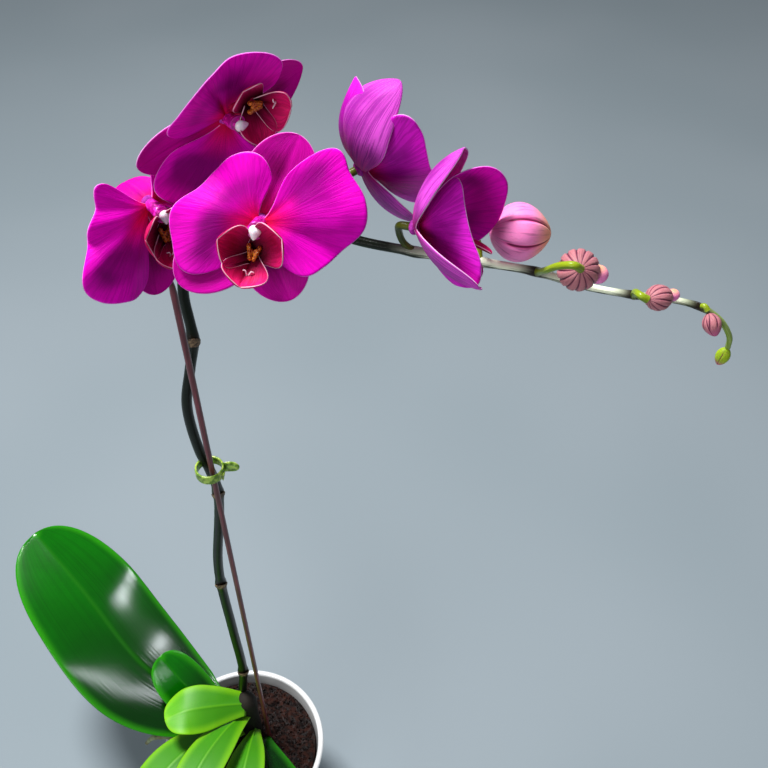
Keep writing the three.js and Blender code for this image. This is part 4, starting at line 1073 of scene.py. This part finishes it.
def facing(flower):
    az, el = math.radians(flower["az"]), math.radians(flower["el"])
    return np.array([math.sin(az) * math.cos(el), -math.cos(az) * math.cos(el), math.sin(el)])


def on_flower(flower):
    az = math.radians(flower["az"])
    right = np.array([math.cos(az), math.sin(az), 0])
    out = facing(flower)
    basis = np.stack([right, np.cross(out, right), out])

    def change(points):
        return turned(points, (0, 0, 1), flower["roll"]) @ basis + np.array(flower["place"])

    return change


# The usual sepal of an open flower; each one's own entry changes some of it
SEPAL = dict(length=38, half_width=13.5, lift=-4, curl=14, cup=14, widest=0.52, claw=0.34, rounding=1.9,
             back=1, keel=0.5)
OPEN_FLOWERS = {
    "a": dict(
        place=(61.7, -15.9, 614), az=1.9, el=35.1, roll=-26.5, lip_turn=12,
        petals=[
            dict(turn=177, spread=80, reach=[21, 26, 27, 26, 27, 34, 35, 36, 25],
                 rise=[2.5, 3.5, 1.5, -1, 0, 2.5, 1, -1.5, 0], dome=2.5, ruffles=[(0.5, 9, 1)]),
            dict(turn=22, spread=62, reach=[20, 27.5, 30.5, 34, 41, 42, 40, 41, 26],
                 rise=[1, 2.5, 1, -2, 0.5, 2, 1.5, 0, 1.5], dome=3, ruffles=[(0.5, 8, 0)]),
        ],
        sepals=[
            dict(turn=90, length=38, half_width=14.5, lift=-12, curl=18),
            dict(turn=241, length=42, half_width=14, lift=-9, curl=10),
            dict(turn=315, length=34, half_width=13.5, lift=-12, curl=12),
        ],
    ),
    "b": dict(
        place=(47.2, 21.9, 637.6), az=35.3, el=-10.7, roll=101, lip_turn=-12,
        lip_shift=(7.5, 3.5, 0.4), column_lean=(3.6, 0),
        upper_lobe=dict(turn=34, length=13, half_width=8.5, lift=0, curl=45, cup=40, claw=0.7, rounding=2.6),
        petals=[
            dict(turn=8, spread=80, reach=[28, 32, 32, 30, 29, 29, 28.5, 28, 24],
                 rise=[3, 5, 5, 3.5, 7, 9, 7.5, 3, -1], dome=2, folds=[(0.05, 0.12, 2.2)]),
            dict(turn=150, spread=54, reach=[32, 41, 41, 40, 40, 41, 40, 37, 29],
                 rise=[0, 3, 6, 9, 11, 12, 12, 10, 8], dome=1),
        ],
        sepals=[
            dict(turn=97, length=42, half_width=12, lift=-8, curl=8),
            dict(turn=262, length=38, half_width=15, lift=-8, curl=10, side=9, rounding=1.6),
            dict(turn=208, length=33, half_width=12.5, lift=-10, curl=20),
        ],
    ),
    "c": dict(
        place=(14.4, 4.3, 608.7), az=45.5, el=17.7, roll=8, lip_turn=-18,
        petals=[
            dict(turn=182, spread=56, reach=[26, 25, 24, 29, 32, 43.5, 45, 41, 38],
                 rise=[0, 1, -1, 1, -2, 0, -1, 1, 0], dome=3, ruffles=[(0.8, 11, 0.5)]),
            dict(turn=8, spread=56, reach=[20, 31, 34, 35, 35, 34, 33, 29, 19],
                 rise=[3, 3, 2, 1, 0, 0, 1, 2, 2], dome=1),
        ],
        sepals=[
            dict(turn=84, length=18, half_width=9, lift=-38, curl=-44),
            dict(turn=246, length=40, half_width=13, lift=-8, curl=8),
            dict(turn=302, length=32, half_width=12, lift=-4, curl=14),
        ],
    ),
}
CUP_SEPAL = dict(length=38, half_width=13, lift=42, curl=30, cup=30, widest=0.5, claw=0.3, rounding=2,
                 keel=0.4)
CUP_FLOWERS = {
    "d": dict(
        place=(100, 28.7, 610.5), az=115.5, el=16.8, roll=12.2, lip_hinge=(0, -4.6, 4),
        petals=[
            dict(turn=192, spread=66, lift=52, reach=[44, 40, 34, 31, 31, 31, 33, 39, 46],
                 rise=[6, 3, 1, 0, 0, 0, 1, 3, 6], dome=-3),
            dict(turn=23, spread=62, lift=27, reach=[27, 33, 36, 37, 37, 37, 37, 35, 31],
                 rise=[4, 2, 0, 0, 0, 0, 0, 2, 4], dome=-8),
        ],
        sepals=[
            dict(turn=90, length=52, half_width=18, lift=-24, curl=122, cup=40, widest=0.45, rounding=1.7),
            dict(turn=-52, length=34, lift=26),
            dict(turn=-132, length=35, half_width=16, lift=-12, curl=62),
        ],
    ),
    "e": dict(
        place=(123.4, 5.9, 596.2), az=63.6, el=11.2, roll=-26, lip_hinge=(4.5, -2.6, 6.8),
        petals=[
            dict(turn=188, spread=57, lift=72, reach=[29, 31, 30, 30, 32, 37.5, 38.5, 32, 24],
                 rise=[5, 3, 1, 0, 0, 0, 1, 2, 3], dome=-3),
            dict(turn=32, spread=62, lift=58, reach=[13, 20, 28, 34, 38, 42, 40, 30, 19],
                 rise=[6, 3, 1, 0, 0, 0, 1, 3, 6], dome=-3),
        ],
        sepals=[
            dict(turn=110, length=46, half_width=18, lift=4, curl=62, cup=54, rounding=1.7),
            dict(turn=-75, length=35, half_width=12, lift=40, curl=34),
            dict(turn=-116, length=43, half_width=15, lift=30, curl=54),
        ],
    ),
}

LIP_HINGE = (0.5, -12, 4)
LIP_CLAW = dict(radius=1, scale=(2.2, 5.4, 1.2), place=(-0.4, 4.4, -0.6))
LOBES = [
    dict(turn=170, length=18, half_width=10.5, lift=8, curl=62, cup=62, widest=0.6, claw=0.5, rounding=2.2,
         flare=0.08),
    dict(turn=38, length=23, half_width=10.5, lift=22, curl=60, cup=50, widest=0.6, claw=0.45, rounding=2.2,
         flare=0.08),
]
TONGUE = dict(turn=-97, length=16, half_width=11, lift=18, curl=28, cup=60, widest=0.72, claw=0.22,
              rounding=2.5, keel=1.2)
CLOSED_LIP = dict(turn=-90, length=27, half_width=4.4, lift=86, curl=-16, cup=48, claw=0.5)
CALLUS = {"x": 0.6, "y": -11.8, "z": 7.2, "warts": 5}
COLUMN = {"top": 8.6, "foot": 2.7, "head": 3.4}
NODDING = (0, -3.4)
WHISKER = [(0.3, -9.6, 3.0), (0.5, -8.2, 4.6), (1.2, -6.9, 5.3), (2.1, -7.0, 4.8)]
WHISKER_RADIUS = 0.42
PETAL_GRID, SEPAL_GRID, LOBE_GRID, CLOSED_LIP_GRID = (52, 110), (56, 36), (48, 40), (48, 24)
BALL_GRID, WART_GRID = (24, 32), (16, 20)


def ball(radius, scale, place, grid=BALL_GRID, finish=0, warts=0.0):
    def point(u, v):
        ring, high = np.sin(np.pi * u), -np.cos(np.pi * u)
        swell = 1 + warts * np.sin(7 * np.pi * v) * np.sin(9 * u)
        x, y = ring * np.cos(np.pi * v), ring * np.sin(np.pi * v)
        return np.stack([x, y, high], -1) * swell[..., None] * radius * np.array(scale) + np.array(place)

    return skin(point, grid, finish, flip=True)


# The column: a short waxy pillar with a wider head, that leans over the lip
def column(lean, finish):
    top, foot, head = (COLUMN[k] for k in ("top", "foot", "head"))

    def point(u, v):
        share = np.minimum(u / 0.9, 1)
        closing = np.sqrt(np.clip(1 - np.clip((u - 0.86) / 0.14, 0, 1) ** 2, 0, 1))
        ring = (foot + (head - foot) * smoothstep(0.3, 1, share)) * closing * np.clip(u / 0.03, 0, 1)
        bend = share**1.6
        high = -1.5 + (top + 1.5) * share + 0.6 * (1 - closing)
        across, along = (lean[k] * bend + ring * wave(np.pi * v) for k, wave in enumerate((np.cos, np.sin)))
        return np.stack([across, along, high], -1)

    return skin(point, (40, 32), finish, flip=True)


# The anther cap: a smooth white hood drawn down to a small beak
def cap(lean):
    def point(u, v):
        ring, high = np.sin(np.pi * u), -np.cos(np.pi * u)
        x, y = ring * np.cos(np.pi * v), ring * np.sin(np.pi * v)
        beak = np.clip(-y, 0, 1) ** 3 * (1 - 0.4 * np.abs(high))
        across, along = lean[0] + 2.5 * x * (1 - 0.35 * beak), lean[1] + 2.2 * y - 1.5 * beak
        return np.stack([across, along, COLUMN["top"] + 2.1 + 1.75 * high], -1)

    return skin(point, (32, 40), flip=True)


# A bloom's petals, sepals, heart and column as one piece, and its cap
def make_tepals(letter, flower, strip_base, heart_radius):
    change = on_flower(flower)
    lean = flower.get("column_lean", NODDING if letter in OPEN_FLOWERS else (0, 0))

    def nodding(points):
        return change(turned(points, (0, 0, 1), flower.get("lip_turn", 0)))

    parts = []
    for form in flower["petals"]:
        parts.append(blade(fan_surface(**form), PETAL_GRID, TEPAL_THICKNESS, False, (0, 1)))
    for form in flower["sepals"]:
        sepal = strip_surface(**{**strip_base, **form})
        parts.append(blade(sepal, SEPAL_GRID, TEPAL_THICKNESS, True, (2, 3)))
    parts.append(ball(heart_radius, (1, 1, 0.6), (0, 0, -0.8), finish=3))
    parts = [moved(part, change) for part in parts] + [moved(column(lean, 4), nodding)]
    materials = [PETAL, PETAL_BACK, SEPAL_FACE, SEPAL_BACK, COLUMN_FLESH]
    made = piece(f"bloom_{letter}_tepals", parts, materials)
    settle(made, "petal", f"flower_{letter}_tepals")
    hood = piece(f"bloom_{letter}_cap", [moved(cap(lean), nodding)], [CAP_WAX])
    settle(hood, "anther_cap", f"flower_{letter}_anther_cap")


# The callus: two rows of warts that part towards the column, each row on a rounded crest
def callus_parts():
    x, y, z = (CALLUS[k] for k in ("x", "y", "z"))
    parts = []
    for side in (-1, 1):
        for k in range(CALLUS["warts"]):
            place = (x + side * (0.8 + 0.32 * k), y - 2.2 + 1.1 * k, z)
            parts.append(ball(1.0, (0.85, 1.1, 1.2), place, WART_GRID, warts=0.08))
        parts.append(ball(1.0, (1.2, 1.5, 0.9), (x + side * 0.9, y, z - 0.5), WART_GRID))
    return parts


# The lip of an open flower: two cupped side lobes, a broad tongue with two curled whiskers, a warty callus
def make_open_lip(letter, flower):
    change = on_flower(flower)
    shift = np.array(flower.get("lip_shift", (0, 0, 0)))

    def on_lip(points):
        return change(turned(points + shift, (0, 0, 1), flower["lip_turn"]))

    def from_hinge(points):
        return on_lip(points + np.array(LIP_HINGE))

    forms = [LOBES[0], {**LOBES[1], **flower.get("upper_lobe", {})}, TONGUE]
    parts = [blade(strip_surface(**form), LOBE_GRID, LIP_THICKNESS, True, (0, 1)) for form in forms]
    parts += [ball(3, (1.15, 0.8, 0.4), (0, -0.6, -0.2)), ball(**LIP_CLAW)]
    lip = piece(f"bloom_{letter}_lip", [moved(part, from_hinge) for part in parts], [LIP_SKIN, LIP_BACK])
    settle(lip, "lip", f"flower_{letter}_lip")
    warts = [moved(part, on_lip) for part in callus_parts()]
    settle(piece(f"bloom_{letter}_callus", warts, [CALLUS_WAX]), "callus", f"flower_{letter}_callus")
    whiskers = []
    for side in (-1, 1):
        route, run = even_route(np.array(WHISKER) * (side, 1, 1), 40)
        radii = WHISKER_RADIUS * (1 - 0.45 * run / run[-1])
        route, radii = rounded_ends(from_hinge(route), radii, start=False)
        whiskers.append(stem(f"whisker_{side}", route, radii, WHISKER_FLESH, 10))
    settle(gathered(f"bloom_{letter}_whiskers", whiskers), "lip")


def make_closed_lip(letter, flower):
    change = on_flower(flower)
    part = blade(strip_surface(**CLOSED_LIP), CLOSED_LIP_GRID, LIP_THICKNESS, True, (0, 1))
    part = moved(part, lambda points: change(points + np.array(flower["lip_hinge"])))
    settle(piece(f"bloom_{letter}_lip", [part], [LIP_SKIN, LIP_BACK]), "lip", f"flower_{letter}_lip")


# Buds: closed eggs. seams are the folds where sepals meet, in degrees round the bud, pleats the number of
# ridges round the stalk, and lobe a smaller bulge with its place and its radius.
BUDS = {
    "bud_f": dict(base=(155.2, 11.5, 590.4), axis=(0.93, 0.05, -0.1), length=27, radius=12.8,
                  seams=(5, 62, 180), pleats=0, skin=BUD_PINK, slot="bud_pink"),
    "bud_g": dict(base=(192.4, -6.5, 583.7), axis=(0.1, 0.72, -0.62), length=18, radius=9.2, seams=(),
                  pleats=13, skin=BUD_TAN, slot="bud_tan", lobe=(202.5, 1.5, 574.6, 4.2)),
    "bud_h": dict(base=(223.5, -8.7, 569.1), axis=(0.75, 0.5, -0.3), length=15, radius=5.8, seams=(),
                  pleats=11, skin=BUD_TAN, slot="bud_tan", lobe=(236.2, -1.6, 565.6, 2.8)),
    "bud_i": dict(base=(253.4, -3.6, 557), axis=(0.34, -0.59, -0.73), length=11, radius=4.2, seams=(20, 140),
                  pleats=7, skin=BUD_TAN, slot="bud_tan"),
    "tip_bud": dict(base=(268.2, -2.1, 534.6), axis=(-0.25, -0.1, -0.95), length=10, radius=3.3,
                    seams=(0, 120, 240), pleats=0, skin=BUD_GREEN, slot="bud_green"),
}


SEAM_WIDTH = 5
CREASE_DEPTH = 0.09


def make_bud(name, form):
    along = unit(np.array(form["axis"], float))
    side = unit(np.cross(along, (0, 0, 1.0)))
    over = np.cross(side, along)
    folds = []

    def point(u, v):
        angle = np.pi * v
        ring = form["radius"] * np.sin(np.pi * np.clip(u, 0, 1) ** 0.9) ** 0.62
        crease = 0 * u
        for place in form["seams"]:
            away = np.abs((np.degrees(angle) - place + 180) % 360 - 180)
            crease = np.maximum(crease, bell(away, 0, SEAM_WIDTH) * smoothstep(0.03, 0.3, u))
        if form["pleats"]:
            furrow = np.abs(np.cos(0.5 * form["pleats"] * angle + 2.5 * u)) ** 12
            crease = np.maximum(crease, furrow * (1 - smoothstep(0.5, 0.85, u)))
        ring = ring * (1 - CREASE_DEPTH * crease)
        folds.append(1 - crease)
        across = side * (ring * np.cos(angle))[..., None] + over * (ring * np.sin(angle))[..., None]
        return np.array(form["base"]) + along * (form["length"] * u)[..., None] + across

    part = skin(point, (64, 128))
    part["edge"] = folds[-1].ravel()
    parts = [part]
    if "lobe" in form:
        *place, radius = form["lobe"]
        parts.append(ball(radius, (1.1, 1, 1), place, finish=1))
    settle(piece(f"{name}_sepals", parts, [form["skin"], BUD_PINK]), form["slot"], name)


make_pot()
make_bed()
make_chips()
make_crown()
make_leaves()
make_root()
make_spike()
make_stake()
make_clip()
for letter, flower in OPEN_FLOWERS.items():
    make_tepals(letter, flower, SEPAL, 3.6)
    make_open_lip(letter, flower)
for letter, flower in CUP_FLOWERS.items():
    make_tepals(letter, flower, CUP_SEPAL, 3.4)
    make_closed_lip(letter, flower)
for name, form in BUDS.items():
    make_bud(name, form)


# The studio, in metres: a plain pale floor, a soft key from above, a broad fill, two small soft lamps and an
# even sky. Each lamp has its place, its target, its width, its power and its tint.
FLOOR_REACH = 6
BLOOMS, LONG_LEAF = (0.08, 0, 0.5), (-0.05, 0.05, 0.2)
LAMPS = {
    "key": ((-0.4, 0.35, 2.1), BLOOMS, 0.5, 54, "ffffff"),
    "fill": ((-0.9, -1.5, 0.9), BLOOMS, 0.9, 12, "ffffff"),
    "soft_right": ((0.84, 0.54, 0.95), LONG_LEAF, 0.09, 0.65, "f4f8ff"),
    "soft_front": ((0.28, -0.65, 1.2), LONG_LEAF, 0.1, 0.4, "f4f8ff"),
}
SKY, SKY_STRENGTH = "c8ced4", 0.28
CAMERA = {"place": (0.110, -0.315, 0.824), "tilt": 45, "sensor": 36, "lens": 43.36}


def make_floor():
    mesh = bpy.data.meshes.new("floor")
    corners = [(x * FLOOR_REACH, y * FLOOR_REACH, 0) for x, y in ((-1, -1), (1, -1), (1, 1), (-1, 1))]
    mesh.from_pydata(corners, [], [(0, 1, 2, 3)])
    wear(link("floor", mesh), [studio_floor()])


def make_light(name, place, target, size, power, tint):
    data = bpy.data.lights.new(name, "AREA")
    data.shape = "DISK"
    data.size = size
    data.energy = power
    data.color = colour(tint)[:3]
    lamp = bpy.data.objects.new(name, data)
    lamp.location = place
    lamp.rotation_euler = (Vector(target) - Vector(place)).to_track_quat("-Z", "Y").to_euler()
    bpy.context.scene.collection.objects.link(lamp)


def make_studio():
    make_floor()
    for name, lamp in LAMPS.items():
        make_light(name, *lamp)
    world = bpy.data.worlds.new("studio_air")
    world.use_nodes = True
    world.node_tree.nodes["Background"].inputs["Color"].default_value = colour(SKY)
    world.node_tree.nodes["Background"].inputs["Strength"].default_value = SKY_STRENGTH
    bpy.context.scene.world = world
    bpy.context.scene.view_settings.view_transform = "Standard"


def make_camera():
    data = bpy.data.cameras.new("camera")
    data.sensor_width = CAMERA["sensor"]
    data.lens = CAMERA["lens"]
    camera = bpy.data.objects.new("camera", data)
    camera.location = CAMERA["place"]
    camera.rotation_euler = (math.radians(CAMERA["tilt"]), 0, 0)
    bpy.context.scene.collection.objects.link(camera)
    bpy.context.scene.camera = camera


make_studio()
make_camera()
